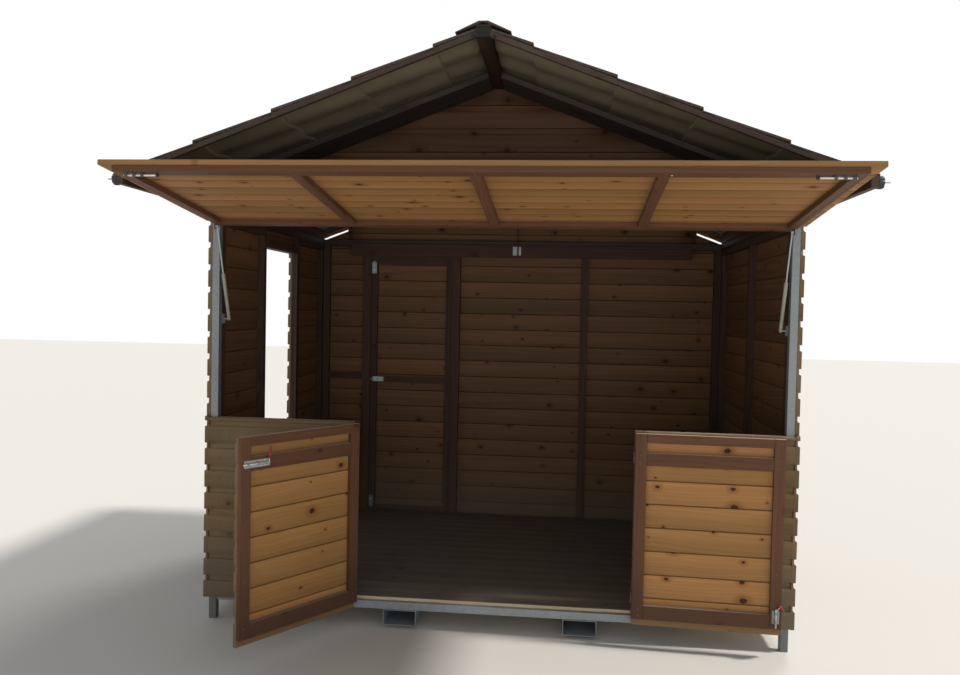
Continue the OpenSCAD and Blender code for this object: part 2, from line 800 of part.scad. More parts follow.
// Leaves: modelled closed, hinge axis at the origin, leaf towards +x, inside towards +y
module leaf_boards() {
  color(pine_c) translate([hinge_edge, hinge_off + clad_t, 0]) mirror([0, 1, 0])
    boards(leaf_l - hinge_edge, leaf_z, counter_z, counter_z);
}

module leaf_frame() {
  y0 = hinge_off + clad_t;
  y1 = y0 + batten_t;
  x0 = hinge_edge;
  x1 = leaf_l;
  color(brown_c) {
    box([x0, y0, leaf_frame_z], [x0 + stile_w, y1, counter_z]);
    box([x1 - stile_w, y0, leaf_frame_z], [x1, y1, counter_z]);
    for (r = [[leaf_frame_z, foot_rail_h], [counter_z - batten_w, batten_w], [leaf_rail_z, rail_w]]) {
      box([x0 + stile_w + butt, y0, r[0]], [x1 - stile_w - butt, y1, r[0] + r[1]]);
    }
  }
}

module leaf_hinges() {
  for (z = leaf_hinge_z) {
    translate([0, 0, z]) hinge_moving();
  }
}

module left_leaf_place() {
  translate([-leaf_axes_w / 2, leaf_axis_y, 0]) rotate([0, 0, -left_leaf_open]) children();
}

module right_leaf_place() {
  mirror_x() translate([-leaf_axes_w / 2, leaf_axis_y, 0]) rotate([0, 0, -right_leaf_open]) children();
}

module left_leaf_fittings() {
  color(steel_c) left_leaf_place() {
    leaf_hinges();
    translate([leaf_l - leaf_bolt_l - bolt_inset, hinge_off + clad_t + batten_t, leaf_rail_z + rail_w / 2])
      rotate([-90, 0, 0]) tower_bolt(leaf_bolt_l);
  }
}

module right_leaf_fittings() {
  color(steel_c) right_leaf_place() {
    leaf_hinges();
    translate([leaf_l - stile_w / 2, hinge_off + clad_t + batten_t, foot_bolt_z + foot_bolt_l])
      rotate([0, 90, 90]) tower_bolt(foot_bolt_l);
  }
}

// Back door
module door_place() {
  translate([door_axis_x, door_axis_y, 0]) children();
}

module back_door_boards() {
  x0 = back_door_x0 + door_edge;
  x1 = back_door_x1 - door_edge;
  color(weathered_c) translate([x0, frame_d, 0]) boards(x1 - x0, door_z, back_door_z - door_edge);
}

module back_door_frame() {
  x0 = back_door_x0 + door_edge;
  x1 = back_door_x1 - door_edge;
  z1 = back_door_z - door_edge;
  y0 = frame_d - batten_t;
  color(dark_c) {
    box([x0, y0, door_z], [x0 + stile_w, frame_d, z1]);
    box([x1 - stile_w, y0, door_z], [x1, frame_d, z1]);
    for (z = [door_z, ledge_z, z1 - batten_w]) {
      box([x0 + stile_w + butt, y0, z], [x1 - stile_w - butt, frame_d, z + batten_w]);
    }
  }
}

module back_door_fittings() {
  y0 = frame_d - batten_t;
  x0 = back_door_x0 + door_edge + stile_w / 2;
  color(dark_steel_c) {
    for (z = door_hinge_z) {
      translate([door_axis_x, door_axis_y, z]) rotate([0, 0, 180]) hinge_moving();
    }
    translate([x0, y0, back_door_z - stop_w - clear - door_bolt_l])
      rotate([0, -90, 90]) tower_bolt(door_bolt_l);
    translate([x0, y0, floor_top + clear + door_bolt_l])
      rotate([0, 90, -90]) tower_bolt(door_bolt_l);
    translate([back_door_x0 + stop_w + clear + door_bolt_l, y0, ledge_z + batten_w / 2])
      rotate([90, 0, 0]) rotate([0, 0, 180]) tower_bolt(door_bolt_l);
  }
}

// Gas struts: modelled upright on the lower pivot, then leaned forward
module strut_place() {
  translate([strut_x, strut_y, strut_z]) rotate([strut_lean, 0, 0]) children();
}

module strut_cylinder() {
  color(steel_c) strut_place() {
    difference() {
      union() {
        rotate([0, 90, 0]) cylinder(r = strut_r, h = eye_w, center = true);
        cylinder(r = strut_r, h = cylinder_l);
      }
      rotate([0, 90, 0]) cylinder(r = pin_r + pin_clear, h = 2 * eye_w, center = true);
      translate([0, 0, 2 * eye_w]) cylinder(r = rod_r + rod_clear, h = cylinder_l);
    }
  }
}

module strut_rod() {
  color(dark_steel_c) strut_place() {
    translate([0, 0, cylinder_l - rod_overlap]) cylinder(r = rod_r, h = strut_l - cylinder_l + rod_overlap);
    translate([0, 0, strut_l]) rotate([0, 90, 0]) cylinder(r = eye_r, h = eye_w, center = true);
  }
}

place() base_frame();
place() fork_pockets();
place() corner_posts();
place() eaves_frame();
place() floor_boards();  // floor
place() mirror_x() front_right_wall();  // front_left_wall
place() front_right_wall();
place() front_wall_frames();
place() left_wall_front();
place() left_wall_rear();
place() left_wall_head();
place() left_wall_frame();
place() right_wall();
place() right_wall_frame();
place() back_wall_left();
place() back_wall_right();
place() back_wall_head();
place() back_wall_frame();
place() back_tie_rail();
place() front_gable();
place() back_gable();
place() soffit_boards();
place() ridge_beam();
place() wall_plates();
place() roof_edge_boards();
place() left_roof();
place() right_roof();
place() ridge_cap();
place() hatch_boards();
place() hatch_frame();
place() hatch_fittings();
place() left_leaf_place() leaf_boards();  // left_leaf_boards
place() left_leaf_place() leaf_frame();  // left_leaf_frame
place() left_leaf_fittings();
place() right_leaf_place() leaf_boards();  // right_leaf_boards
place() right_leaf_place() leaf_frame();  // right_leaf_frame
place() right_leaf_fittings();
place() back_door_boards();
place() back_door_frame();
place() back_door_fittings();
place() mirror_x() strut_cylinder();  // left_strut_cylinder
place() mirror_x() strut_rod();  // left_strut_rod
place() strut_cylinder();  // right_strut_cylinder
place() strut_rod();  // right_strut_rod
place() fixed_fittings();
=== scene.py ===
import json
import math

import bmesh
import bpy
from mathutils import Matrix, Vector


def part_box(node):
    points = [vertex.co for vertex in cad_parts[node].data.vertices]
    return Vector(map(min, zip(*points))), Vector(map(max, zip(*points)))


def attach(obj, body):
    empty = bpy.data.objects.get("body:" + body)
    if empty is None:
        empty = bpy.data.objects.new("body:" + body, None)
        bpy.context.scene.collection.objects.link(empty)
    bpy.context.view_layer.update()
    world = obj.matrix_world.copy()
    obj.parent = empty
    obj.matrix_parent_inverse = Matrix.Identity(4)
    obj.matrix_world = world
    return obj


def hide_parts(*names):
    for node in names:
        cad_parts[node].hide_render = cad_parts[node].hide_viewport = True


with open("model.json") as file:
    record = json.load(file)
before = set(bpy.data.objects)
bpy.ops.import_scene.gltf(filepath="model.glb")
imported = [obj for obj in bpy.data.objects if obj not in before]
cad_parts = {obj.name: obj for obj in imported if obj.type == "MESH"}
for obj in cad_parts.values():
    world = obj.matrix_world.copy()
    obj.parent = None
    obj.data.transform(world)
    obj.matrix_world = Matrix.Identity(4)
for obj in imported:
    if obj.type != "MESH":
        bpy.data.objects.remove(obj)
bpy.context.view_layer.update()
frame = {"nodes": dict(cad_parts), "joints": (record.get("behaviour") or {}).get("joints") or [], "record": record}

bl_info = {
    "name": "Wooden market stall",
    "version": (1, 0, 0),
    "blender": (4, 5, 0),
    "location": "View3D > Sidebar > Stall",
    "description": "Dresses a timber clad market stall with boards, battens, tiles and fittings",
    "category": "Object",
}

BODY_OF = {n: b for b, nodes in frame["record"]["behaviour"]["bodies"].items() for n in nodes}
SLOT_OF = {s["node"]: s["material_slot"] for s in frame["record"]["subparts"]}
JOINTS = {j["name"]: j for j in frame["joints"]}
MATERIALS = {}
SHARED = {}

# The side that a stack of boards faces, and its turn about the upright in degrees
FACING = {"back": 0, "front": 180, "right": -90, "left": 90}


def setting(name, description, value, **more):
    return bpy.props.FloatProperty(name=name, description=description, default=value, **more)


def metres(name, description, value):
    return setting(name, description, value, unit="LENGTH")


def angle(name, description, degrees):
    return setting(name, description, math.radians(degrees), subtype="ANGLE")


def colour(name, description, value):
    return bpy.props.FloatVectorProperty(
        name=name, description=description, default=value, size=3, min=0, max=1, subtype="COLOR")


class StallSizes(bpy.types.PropertyGroup):
    """Sizes of the boards, leaves, roof and fittings, as in the fixed frame."""

    cover: metres("Board cover", "Height that one board covers", 0.1175)
    board_t: metres("Board thickness", "Thickness of a board", 0.022)
    scoop_d: metres("Scoop depth", "Depth of the scoop along a board's upper edge", 0.011)
    scoop_h: metres("Scoop height", "Height of the scooped strip that shows", 0.03)
    lap: metres("Joint gap", "Half of the gap that shows between two boards", 0.0009)
    groove: metres("Groove", "Size of the groove between boards on the inside", 0.003)
    datum: metres("Board foot", "Height of the wall boards' lower edge", 0.121)
    counter: metres("Counter height", "Height of the half walls and leaves", 1.08)
    leaf_foot: metres("Leaf foot", "Height of the leaves' lower edge", 0.118)
    leaf_joint: metres("Leaf joint", "Height from which the leaves' boards are counted", 0.14)
    leaf_width: metres("Leaf width", "From hinge axis to free edge", 0.716)
    hinge_edge: metres("Hinge edge", "From hinge axis to the leaf's edge", 0.003)
    board_back: metres("Board back", "From hinge axis to the inner face of the boards", 0.03)
    batten_t: metres("Batten thickness", "Thickness of the battens on moving leaves", 0.025)
    hatch_length: metres("Hatch length", "From hatch hinge axis to free edge", 1.045)
    hatch_width: metres("Hatch width", "Width over the hatch boards", 3.02)
    hatch_top_gap: metres("Hatch top gap", "From hatch hinge axis to the hatch boards", 0.006)
    left_open: angle("Left leaf angle", "How far the left leaf is open at rest", 123.5)
    right_open: angle("Right leaf angle", "How far the right leaf is open at rest", 177)
    hatch_open: angle("Hatch angle", "How far the hatch is swung up at rest", 96.2)
    roof_pitch: angle("Roof pitch", "Slope of the roof", 21)
    tile_run: metres("Tile row", "Run of one tile row, measured level", 0.34)
    tile_step: metres("Tile step", "Height of the step at a tile row's nose", 0.014)
    tile_wave: metres("Tile wave", "Distance from wave to wave", 0.24)
    tile_wave_h: metres("Tile wave height", "Height of the waves", 0.012)
    sheet_t: metres("Sheet thickness", "Thickness of the roof sheets", 0.004)
    sheet_start: metres("Sheet start", "Distance of the sheets from the middle of the ridge", 0.032)
    plank: metres("Floor board", "Width of a floor board", 0.118)
    slit_drop: metres("Slot drop", "Height from the back gable's slots to the roof", 0.056)
    slit_height: metres("Slot height", "Height of the back gable's slots", 0.016)
    slit_length: metres("Slot length", "Length of the back gable's slots", 0.21)
    bolt_width: metres("Bolt width", "Width of a tower bolt's plate", 0.034)
    bolt_lift: metres("Bolt lift", "Height of a bolt's shoot over its plate's foot", 0.0085)
    knob_radius: metres("Knob radius", "Radius of a clamp knob over its lobes", 0.0265)
    nail_inset: metres("Nail inset", "From a wall's end to its first line of nails", 0.085)
    nail_rise: metres("Nail rise", "From a board's lower edge to its nails", 0.045)


class StallColours(bpy.types.PropertyGroup):
    """Colours of the stall's finishes."""

    outer_pale: colour("Weathered pale", "Pale figure of the weathered boards", (0.235, 0.147, 0.068))
    outer_deep: colour("Weathered deep", "Deep figure of the weathered boards", (0.125, 0.074, 0.032))
    outer_grey: colour("Weathered grey", "Grey of the most weathered places", (0.19, 0.15, 0.1))
    # The gable boards' red-brown is partly their stain and partly painted shade, drawn darker as the shade under
    # the roof
    gable_pale: colour("Gable pale", "Pale figure of the gable boards", (0.156, 0.082, 0.046))
    gable_deep: colour("Gable deep", "Deep figure of the gable boards", (0.092, 0.046, 0.025))
    inner_pale: colour("Inside pale", "Pale figure of the stained inner faces", (0.178, 0.094, 0.042))
    inner_deep: colour("Inside deep", "Deep figure of the stained inner faces", (0.094, 0.046, 0.021))
    pine_pale: colour("Pine pale", "Pale figure of the leaves' golden boards", (0.432, 0.23, 0.083))
    pine_deep: colour("Pine deep", "Deep figure of the leaves' golden boards", (0.276, 0.131, 0.043))
    # Painted shade: the hatch's boards are the leaves' pine, darkened to eight tenths
    hatch_pale: colour("Hatch pale", "Pale figure of the hatch's golden boards", (0.3456, 0.184, 0.0664))
    hatch_deep: colour("Hatch deep", "Deep figure of the hatch's golden boards", (0.2208, 0.1048, 0.0344))
    batten_pale: colour("Batten pale", "Pale figure of the red-brown battens", (0.144, 0.065, 0.034))
    batten_deep: colour("Batten deep", "Deep figure of the red-brown battens", (0.093, 0.039, 0.02))
    edge_pale: colour("Roof edge pale", "Pale figure of the roof's edge boards", (0.058, 0.038, 0.033))
    edge_deep: colour("Roof edge deep", "Deep figure of the roof's edge boards", (0.038, 0.023, 0.018))
    dark_pale: colour("Dark timber pale", "Pale figure of the dark timbers", (0.077, 0.042, 0.028))
    dark_deep: colour("Dark timber deep", "Deep figure of the dark timbers", (0.039, 0.021, 0.015))
    soffit_pale: colour("Soffit pale", "Pale figure of the soffit's boards", (0.087, 0.07, 0.058))
    soffit_deep: colour("Soffit deep", "Deep figure of the soffit's boards", (0.053, 0.042, 0.035))
    floor_pale: colour("Floor pale", "Pale figure of the floor", (0.152, 0.131, 0.115))
    floor_deep: colour("Floor deep", "Deep figure of the floor", (0.088, 0.073, 0.062))
    sawn_pale: colour("Sawn pale", "Pale figure of the floor boards' sawn edges", (0.68, 0.56, 0.36))
    sawn_deep: colour("Sawn deep", "Deep figure of the floor boards' sawn edges", (0.46, 0.36, 0.21))
    # Painted light: upward faces, such as the tops of leaves and battens and the boards' ledges, take this pale
    # grey-gold, as where light falls on them
    painted_top_light: colour("Sun-bleached", "Grey-gold of edges that lie open to the sky", (0.7, 0.6, 0.48))
    knot: colour("Knots", "Heart of a knot", (0.03, 0.011, 0.005))
    # Painted light: the base frame's galvanised grey is made lighter, as the light it takes from the bright ground
    # below
    zinc: colour("Zinc", "Galvanised base frame", (0.48, 0.56, 0.65))
    # Painted shade: the corner posts' galvanised grey is made darker, as the shade they stand in
    shaded_post: colour("Post zinc", "Duller galvanising of the corner posts", (0.205, 0.238, 0.25))
    bolt_zinc: colour("Bolt zinc", "Blue-grey zinc of the bolts", (0.38, 0.43, 0.45))
    bright: colour("Bright steel", "The bolts' bare shoots", (0.72, 0.72, 0.7))
    zinc_grey: colour("Zinc grey", "Dull grey of weathered zinc", (0.3, 0.29, 0.27))
    # Painted shade: the galvanised eaves frame is coloured dark brown, as the shade it lies in under the roof
    shaded_eaves: colour("Eaves paint", "Brown paint of the eaves frame", (0.035, 0.022, 0.016))
    strut_paint: colour("Strut paint", "Grey-green paint of the struts' cylinders", (0.3, 0.31, 0.25))
    dark_steel: colour("Dark steel", "Blackened fittings", (0.05, 0.046, 0.045))
    rust: colour("Rust", "Rust spots on blackened fittings", (0.16, 0.065, 0.028))
    screw: colour("Dull screws", "Brown heads of the battens' screws", (0.12, 0.085, 0.065))
    black: colour("Black plastic", "Clamp knobs", (0.018, 0.018, 0.02))
    ridge_box: colour("Ridge box", "Slotted box at the ridge's front end", (0.01, 0.011, 0.009))
    tile_top: colour("Tile", "Upper side of the roof sheets", (0.05, 0.038, 0.031))
    tile_under: colour("Tile underside", "Underside of the roof sheets", (0.295, 0.25, 0.185))
    moss: colour("Moss", "Thin growth on the roof sheets", (0.075, 0.085, 0.05))
    red: colour("Bolt sleeve", "Red sleeves of the leaf bolts", (0.3, 0.018, 0.018))


class StallStage(bpy.types.PropertyGroup):
    """Floor, light and camera."""

    floor: colour("Floor", "Plain floor", (0.78, 0.76, 0.73))
    floor_reach: metres("Floor reach", "From the middle of the floor to its edges", 30.0)
    sky: setting("Soft light", "Strength of the even light", 0.34)
    lamp: setting("Lamp", "Strength of the high lamp", 2.5)
    fill: setting("Fill", "Power of the broad low lamp in front", 59.0)
    back_lamp: setting("Back lamp", "Strength of the lamp behind", 0.7)
    lens: setting("Lens", "Focal length in millimetres", 31.43)
    eye: bpy.props.FloatVectorProperty(
        name="Camera", description="Place of the camera", default=(0.3627, -4.7438, 1.668),
        subtype="TRANSLATION")
    yaw: angle("Yaw", "Turn of the camera to the left", 5.8357)
    pitch: angle("Pitch", "Upward tilt of the camera", -1.8046)
    roll: angle("Roll", "Lean of the camera", 1.1724)


# Helpers for node trees

class Wire:
    """An output of a node, which formulas can be written with."""

    def __init__(self, nodes, socket):
        self.nodes, self.socket = nodes, socket

    def __getitem__(self, key):
        """Another output of the same node."""
        return Wire(self.nodes, self.socket.node.outputs[key])

    def __add__(self, other):
        return self.nodes.calc("ADD", self, other)

    def __sub__(self, other):
        return self.nodes.calc("SUBTRACT", self, other)

    def __rsub__(self, other):
        return self.nodes.calc("SUBTRACT", other, self)

    def __mul__(self, other):
        return self.nodes.calc("MULTIPLY", self, other)

    def __truediv__(self, other):
        return self.nodes.calc("DIVIDE", self, other)

    def __pow__(self, other):
        return self.nodes.calc("POWER", self, other)

    def ramp(self, low, high, to_low=0.0, to_high=1.0):
        """Smooth step from one value to another."""
        return self.nodes.put("ShaderNodeMapRange", {0: self, 1: low, 2: high, 3: to_low, 4: to_high},
                              interpolation_type="SMOOTHSTEP")

    def parts(self):
        node = self.nodes.put("ShaderNodeSeparateXYZ", {0: self})
        return [node[k] for k in range(3)]


class Nodes:
    """Writes nodes into a tree and hands out their outputs as wires."""

    def __init__(self, tree):
        self.tree = tree

    def feed(self, node, values):
        """Links or sets a node's inputs."""
        for key, value in values.items():
            socket = node.inputs[key]
            if isinstance(value, Wire):
                self.tree.links.new(value.socket, socket)
            else:
                socket.default_value = (*value, 1)[:4] if socket.type == "RGBA" else value

    def put(self, kind, ins=None, **settings):
        """Adds a node with these settings and inputs, and gives its first live output."""
        node = self.tree.nodes.new(kind)
        for key, value in settings.items():
            setattr(node, key, value)
        self.feed(node, ins or {})
        return Wire(self, next(s for s in node.outputs if s.enabled))

    def calc(self, operation, *values, clamp=False):
        return self.put("ShaderNodeMath", dict(enumerate(values)), operation=operation, use_clamp=clamp)

    def vector(self, x, y, z):
        return self.put("ShaderNodeCombineXYZ", {0: x, 1: y, 2: z})

    def noise(self, at, scale, detail=2.0, rough=0.5):
        return self.put("ShaderNodeTexNoise", {
            "Vector": at, "Scale": scale, "Detail": detail, "Roughness": rough})

    def mix(self, factor, a, b, blend="MIX"):
        """Mixes two colours."""
        return self.put("ShaderNodeMix", {0: factor, 6: a, 7: b}, data_type="RGBA", blend_type=blend)[2]

    def shaded(self, base, value, hue=0.5, saturation=1.0):
        """A colour with its brightness changed."""
        return self.put("ShaderNodeHueSaturation", {
            "Hue": hue, "Saturation": saturation, "Value": value, "Color": base})

    def attribute(self, name):
        return self.put("ShaderNodeAttribute", attribute_name=name)

    def coordinates(self, kind="Object"):
        return self.put("ShaderNodeTexCoord")[kind]

    def bump(self, height, distance, strength=0.6):
        return self.put("ShaderNodeBump", {"Height": height, "Distance": distance, "Strength": strength})

    def position(self):
        return self.put("GeometryNodeInputPosition")

    def named(self, name, kind):
        return self.put("GeometryNodeInputNamedAttribute", {"Name": name}, data_type=kind)

    def store(self, geometry, name, value, kind, domain, selection=True):
        return self.put("GeometryNodeStoreNamedAttribute", {
            "Geometry": geometry, "Selection": selection, "Name": name, "Value": value},
            data_type=kind, domain=domain)

    def placed(self, geometry, **ins):
        """Sets the position of points, or moves them by an offset."""
        return self.put("GeometryNodeSetPosition", {"Geometry": geometry, **ins})


def group(name, kind, ins, outs):
    """A node group as (nodes, inputs, output node). An input has a default, or its type as text."""
    tree = bpy.data.node_groups.new(name, kind)
    for label, default in ins.items():
        plain = isinstance(default, str)
        sort = default if plain else {float: "Float", int: "Int", tuple: "Color"}[type(default)]
        socket = tree.interface.new_socket(label, in_out="INPUT", socket_type="NodeSocket" + sort)
        if not plain:
            socket.default_value = (*default, 1) if sort == "Color" else default
    for label, sort in outs.items():
        tree.interface.new_socket(label, in_out="OUTPUT", socket_type="NodeSocket" + sort)
    nodes = Nodes(tree)
    source = tree.nodes.new("NodeGroupInput")
    sink = tree.nodes.new("NodeGroupOutput")
    return nodes, {s.name: Wire(nodes, s) for s in source.outputs if s.name}, sink


# Shared material effects

def sawn_wood():
    """Figure, fibres and knots of a sawn softwood board. x runs along the grain."""
    t, ins, sink = group("Sawn wood", "ShaderNodeTree", {
        "Grain": "Vector", "Tone": 0.5, "Pale": (0.4, 0.2, 0.1), "Deep": (0.2, 0.1, 0.05),
        "Knot colour": (0.06, 0.025, 0.012), "Knots": 0.5, "Rings": 0.6, "Variation": 0.2},
        {"Color": "Color", "Height": "Float", "Figure": "Float"})
    x, y, z = ins["Grain"].parts()
    tone = ins["Tone"]
    along, across = x + tone * 31.7, z + tone * 7.3
    # Knots: the middle of each cell of a coarse grid, with its real distance
    cell_x, cell_z = 0.26, 0.115
    cells = t.put("ShaderNodeTexVoronoi", {
        "Vector": t.vector(along / cell_x, across / cell_z, 0.0), "Scale": 1.0, "Randomness": 0.85},
        voronoi_dimensions="2D")
    at = cells["Position"].parts()
    dx, dz = at[0] * cell_x - along, at[1] * cell_z - across
    wobble = t.noise(t.vector(along, across, y), 55.0, 1.0)
    far = ((dx * 0.72) ** 2.0 + dz ** 2.0) ** 0.5 + (wobble - 0.5) * 0.006
    chance = cells["Color"].parts()
    there = t.calc("LESS_THAN", chance[0], ins["Knots"])
    size = chance[1] ** 1.6 * 0.0105 + 0.0032
    knot = there * (far / size).ramp(0.75, 1.15, 1.0, 0.0)
    halo = there * (far / size).ramp(0.9, 3.6, 1.0, 0.0)
    # Growth rings: distance from a heart that wanders along the board and bends round knots
    wander = t.noise(t.vector(along * 0.9, tone, 0.0), 1.0)
    heart = (wander - 0.5) * 0.14 + (tone * 0.16 - 0.02)
    ring = ((z - heart) ** 2.0 + (y + 0.035) ** 2.0) ** 0.5 + halo * 0.012
    rings = t.noise(t.vector(along * 0.6, ring * 210.0, tone), 1.0, 2.0, 0.55).ramp(0.36, 0.66)
    fibre = t.noise(t.vector(along * 5.0, y * 420.0, z * 420.0), 1.0, 2.0, 0.6)
    figure = t.calc("ADD", rings * ins["Rings"], fibre * 0.4, clamp=True)
    blotch = t.noise(t.vector(along * 2.2, z * 9.0, tone), 1.0)
    shade = (tone - 0.5) * ins["Variation"] + (blotch - 0.5) * 0.35 + 1.0
    body = t.shaded(t.mix(figure, ins["Pale"], ins["Deep"]), shade, (tone - 0.5) * -0.007 + 0.5)
    reddish = t.mix(1.0, ins["Deep"], (0.86, 0.6, 0.48), "MULTIPLY")
    body = t.mix(halo * 0.6, body, reddish)
    body = t.mix(knot * 0.93, body, ins["Knot colour"])
    t.feed(sink, {"Color": body, "Height": figure * -0.5 + knot * 0.5, "Figure": figure})
    return t.tree


def weather():
    """Grey, dirt and streaks that years outside leave on a surface."""
    t, ins, sink = group("Weather", "ShaderNodeTree", {
        "Color": (0.2, 0.1, 0.05), "Place": "Vector", "Grey": (0.2, 0.18, 0.15), "Amount": 0.4, "Dirt": 0.3,
        "Dust": (0.15, 0.122, 0.085)}, {"Color": "Color"})
    x, y, z = ins["Place"].parts()
    broad = t.noise(t.vector(x * 1.6, y * 1.6, z * 3.2), 1.0, 3.0, 0.6)
    streak = t.noise(t.vector(x * 38.0, y * 38.0, z * 1.3), 1.0, 2.0, 0.6)
    mask = (streak * 0.35 + broad).ramp(0.52, 0.86)
    low = (z - broad * 0.25).ramp(-0.05, 0.55, 1.0, 0.0)
    greyed = t.mix(mask * ins["Amount"], ins["Color"], ins["Grey"])
    t.feed(sink, {"Color": t.mix(low * ins["Dirt"], greyed, ins["Dust"])})
    return t.tree


def spangle():
    """Crystals and dull streaks of hot-dip zinc."""
    t, ins, sink = group("Spangle", "ShaderNodeTree", {
        "Color": (0.4, 0.43, 0.45), "Place": "Vector", "Crystal": 70.0, "Stain": 0.5},
        {"Color": "Color", "Roughness": "Float", "Height": "Float"})
    place = ins["Place"]
    warp = t.noise(place, 45.0, 1.0)["Color"]
    at = t.put("ShaderNodeVectorMath", {0: warp, 1: (0.012, 0.012, 0.012), 2: place},
               operation="MULTIPLY_ADD")
    value = t.put("ShaderNodeTexVoronoi", {"Vector": at, "Scale": ins["Crystal"]})["Color"].parts()[0]
    broad = t.noise(place, 5.0, 4.0, 0.62)
    stain = broad.ramp(0.52, 0.72) * ins["Stain"]
    toned = t.shaded(ins["Color"], value * 0.2 + 0.78 + broad * 0.25)
    t.feed(sink, {"Color": t.mix(stain, toned, (0.27, 0.25, 0.215)), "Height": t.noise(place, 130.0),
                  "Roughness": value * 0.12 + 0.38 + stain * 0.3})
    return t.tree


# Materials

def new_material(name):
    """A material, listed under its name, as (its nodes, its surface)."""
    material = MATERIALS[name] = bpy.data.materials.new(name)
    material.use_nodes = True
    return Nodes(material.node_tree), material.node_tree.nodes["Principled BSDF"]


def wood(name, inner, outer=None, knots=0.2, grey=0.0, rings=0.6, variation=0.3, rough=0.62, dirt=0.0,
         cover=0.0, stain_z=0.0, top_light=0.0, front=None, dust=(0.16, 0.128, 0.086)):
    """A wood material. inner and outer name its colours; outer is for faces marked as outside.
    Below the height stain_z it is stained by splashes. top_light is how much painted light, a pale grey-gold,
    is laid on faces turned up to the sky, and from front inwards the painted light that falls in at the front
    fades out."""
    colours = bpy.context.scene.stall_colours
    t, surface = new_material(name)
    grain = t.attribute("grain")["Vector"]
    outside = t.attribute("outside")["Fac"] if outer else 1.0
    pale, deep = (
        t.mix(outside, getattr(colours, f"{inner}_{shade}"), getattr(colours, f"{outer or inner}_{shade}"))
        for shade in ("pale", "deep"))
    sawn = t.put("ShaderNodeGroup", {
        "Grain": grain, "Tone": t.attribute("tone")["Fac"], "Pale": pale, "Deep": deep, "Knots": knots,
        "Variation": variation, "Rings": rings, "Knot colour": colours.knot}, node_tree=SHARED["wood"])
    coloured = sawn["Color"]
    if cover:
        # Dust and shade settle in the joints, and each board is a little paler along its upper edge
        height = grain.parts()[2]
        edge = t.calc("MINIMUM", t.calc("ABSOLUTE", height), t.calc("ABSOLUTE", cover - height))
        joint = edge.ramp(0.001, 0.0055, 1.0, 0.0) * (1.0 - outside if outer else 1.0)
        coloured = t.shaded(coloured, (height * (0.34 / cover) + 0.82) * (joint * -0.62 + 1.0))
    place = t.coordinates()
    if stain_z:
        splashed = place.parts()[2].ramp(stain_z - 0.004, stain_z + 0.006, 0.85, 0.0)
        coloured = t.mix(splashed, coloured, [0.9 * v for v in colours.outer_pale])
    # Painted light: faces that turn upwards are mixed towards a pale grey-gold, as light falling on them from
    # above
    if top_light:
        upward = t.coordinates("Normal").parts()[2]
        coloured = t.mix(upward.ramp(0.5, 0.95, 0.0, top_light) * outside, coloured, colours.painted_top_light)
    # Painted light: up to 1.75 times lighter at the front edge, fading out 0.7 m inwards, as light falling in at
    # the open front
    if front is not None:
        coloured = t.shaded(coloured, place.parts()[1].ramp(front, front + 0.7, 1.75, 1.0), saturation=0.95)
    worn = t.put("ShaderNodeGroup", {
        "Color": coloured, "Place": place, "Amount": outside * grey, "Grey": colours.outer_grey, "Dirt": dirt,
        "Dust": dust}, node_tree=SHARED["weather"])
    t.feed(surface, {"Base Color": worn, "Roughness": sawn["Figure"] * 0.14 + (rough - 0.05),
                     "Specular IOR Level": 0.22, "Normal": t.bump(sawn["Height"], 0.0009)})


def zinc_metal(name, base, crystal, stain, metal):
    """Zinc with crystals of this many to the metre."""
    t, surface = new_material(name)
    place, grey = t.coordinates(), bpy.context.scene.stall_colours.zinc_grey
    coat = t.put("ShaderNodeGroup", {"Color": base, "Place": place, "Crystal": crystal, "Stain": stain},
                 node_tree=SHARED["spangle"])
    worn = t.put("ShaderNodeGroup", {
        "Color": coat["Color"], "Place": place, "Amount": 0.25, "Grey": grey, "Dirt": 0.5,
        "Dust": (0.07, 0.06, 0.048)}, node_tree=SHARED["weather"])
    t.feed(surface, {"Base Color": worn, "Roughness": coat["Roughness"], "Metallic": metal,
                     "Normal": t.bump(coat["Height"], 0.0003, 0.4)})


def dark_metal(name, base, rusty):
    """Blackened steel, lighter in random patches, with a little rust."""
    t, surface = new_material(name)
    place = t.coordinates()
    spots = t.noise(place, 60.0, 4.0, 0.65)
    rust = spots.ramp(0.57, 0.7)
    shade = t.mix(t.noise(place, 22.0), base, [2.4 * v for v in base])
    t.feed(surface, {"Base Color": t.mix(rust, shade, rusty), "Roughness": rust * 0.4 + 0.42,
                     "Metallic": rust * -0.5 + 0.6, "Normal": t.bump(spots, 0.0004, 0.5)})


def tile_metal(name, top, under, moss):
    """Stone-coated sheet: dark granules above, a khaki coat below."""
    t, surface = new_material(name)
    place = t.coordinates()
    below = 1.0 - t.attribute("outside")["Fac"]
    speck = t.put("ShaderNodeTexVoronoi", {"Vector": place, "Scale": 420.0})["Color"].parts()[0]
    broad = t.noise(place, 3.5, 4.0, 0.6)
    mossy = t.noise(place, 14.0, 5.0, 0.7).ramp(0.56, 0.74) * 0.55
    upper = t.mix(mossy, t.shaded(top, speck * 0.75 + 0.45 + broad), moss)
    lower = t.shaded(under, broad * 0.9 + 0.5)
    t.feed(surface, {"Base Color": t.mix(below, upper, lower), "Roughness": below * -0.3 + 0.92,
                     "Normal": t.bump(speck * (1.0 - below), 0.0012, 0.7)})


def plain_coat(name, base, rough):
    """Paint or plastic, worn in small spots."""
    t, surface = new_material(name)
    wear = t.noise(t.coordinates(), 160.0, 3.0, 0.6).ramp(0.5, 0.7)
    t.feed(surface, {"Base Color": t.mix(wear * 0.5, base, [0.5 * v for v in base]),
                     "Roughness": wear * 0.2 + rough})


# Geometry trees

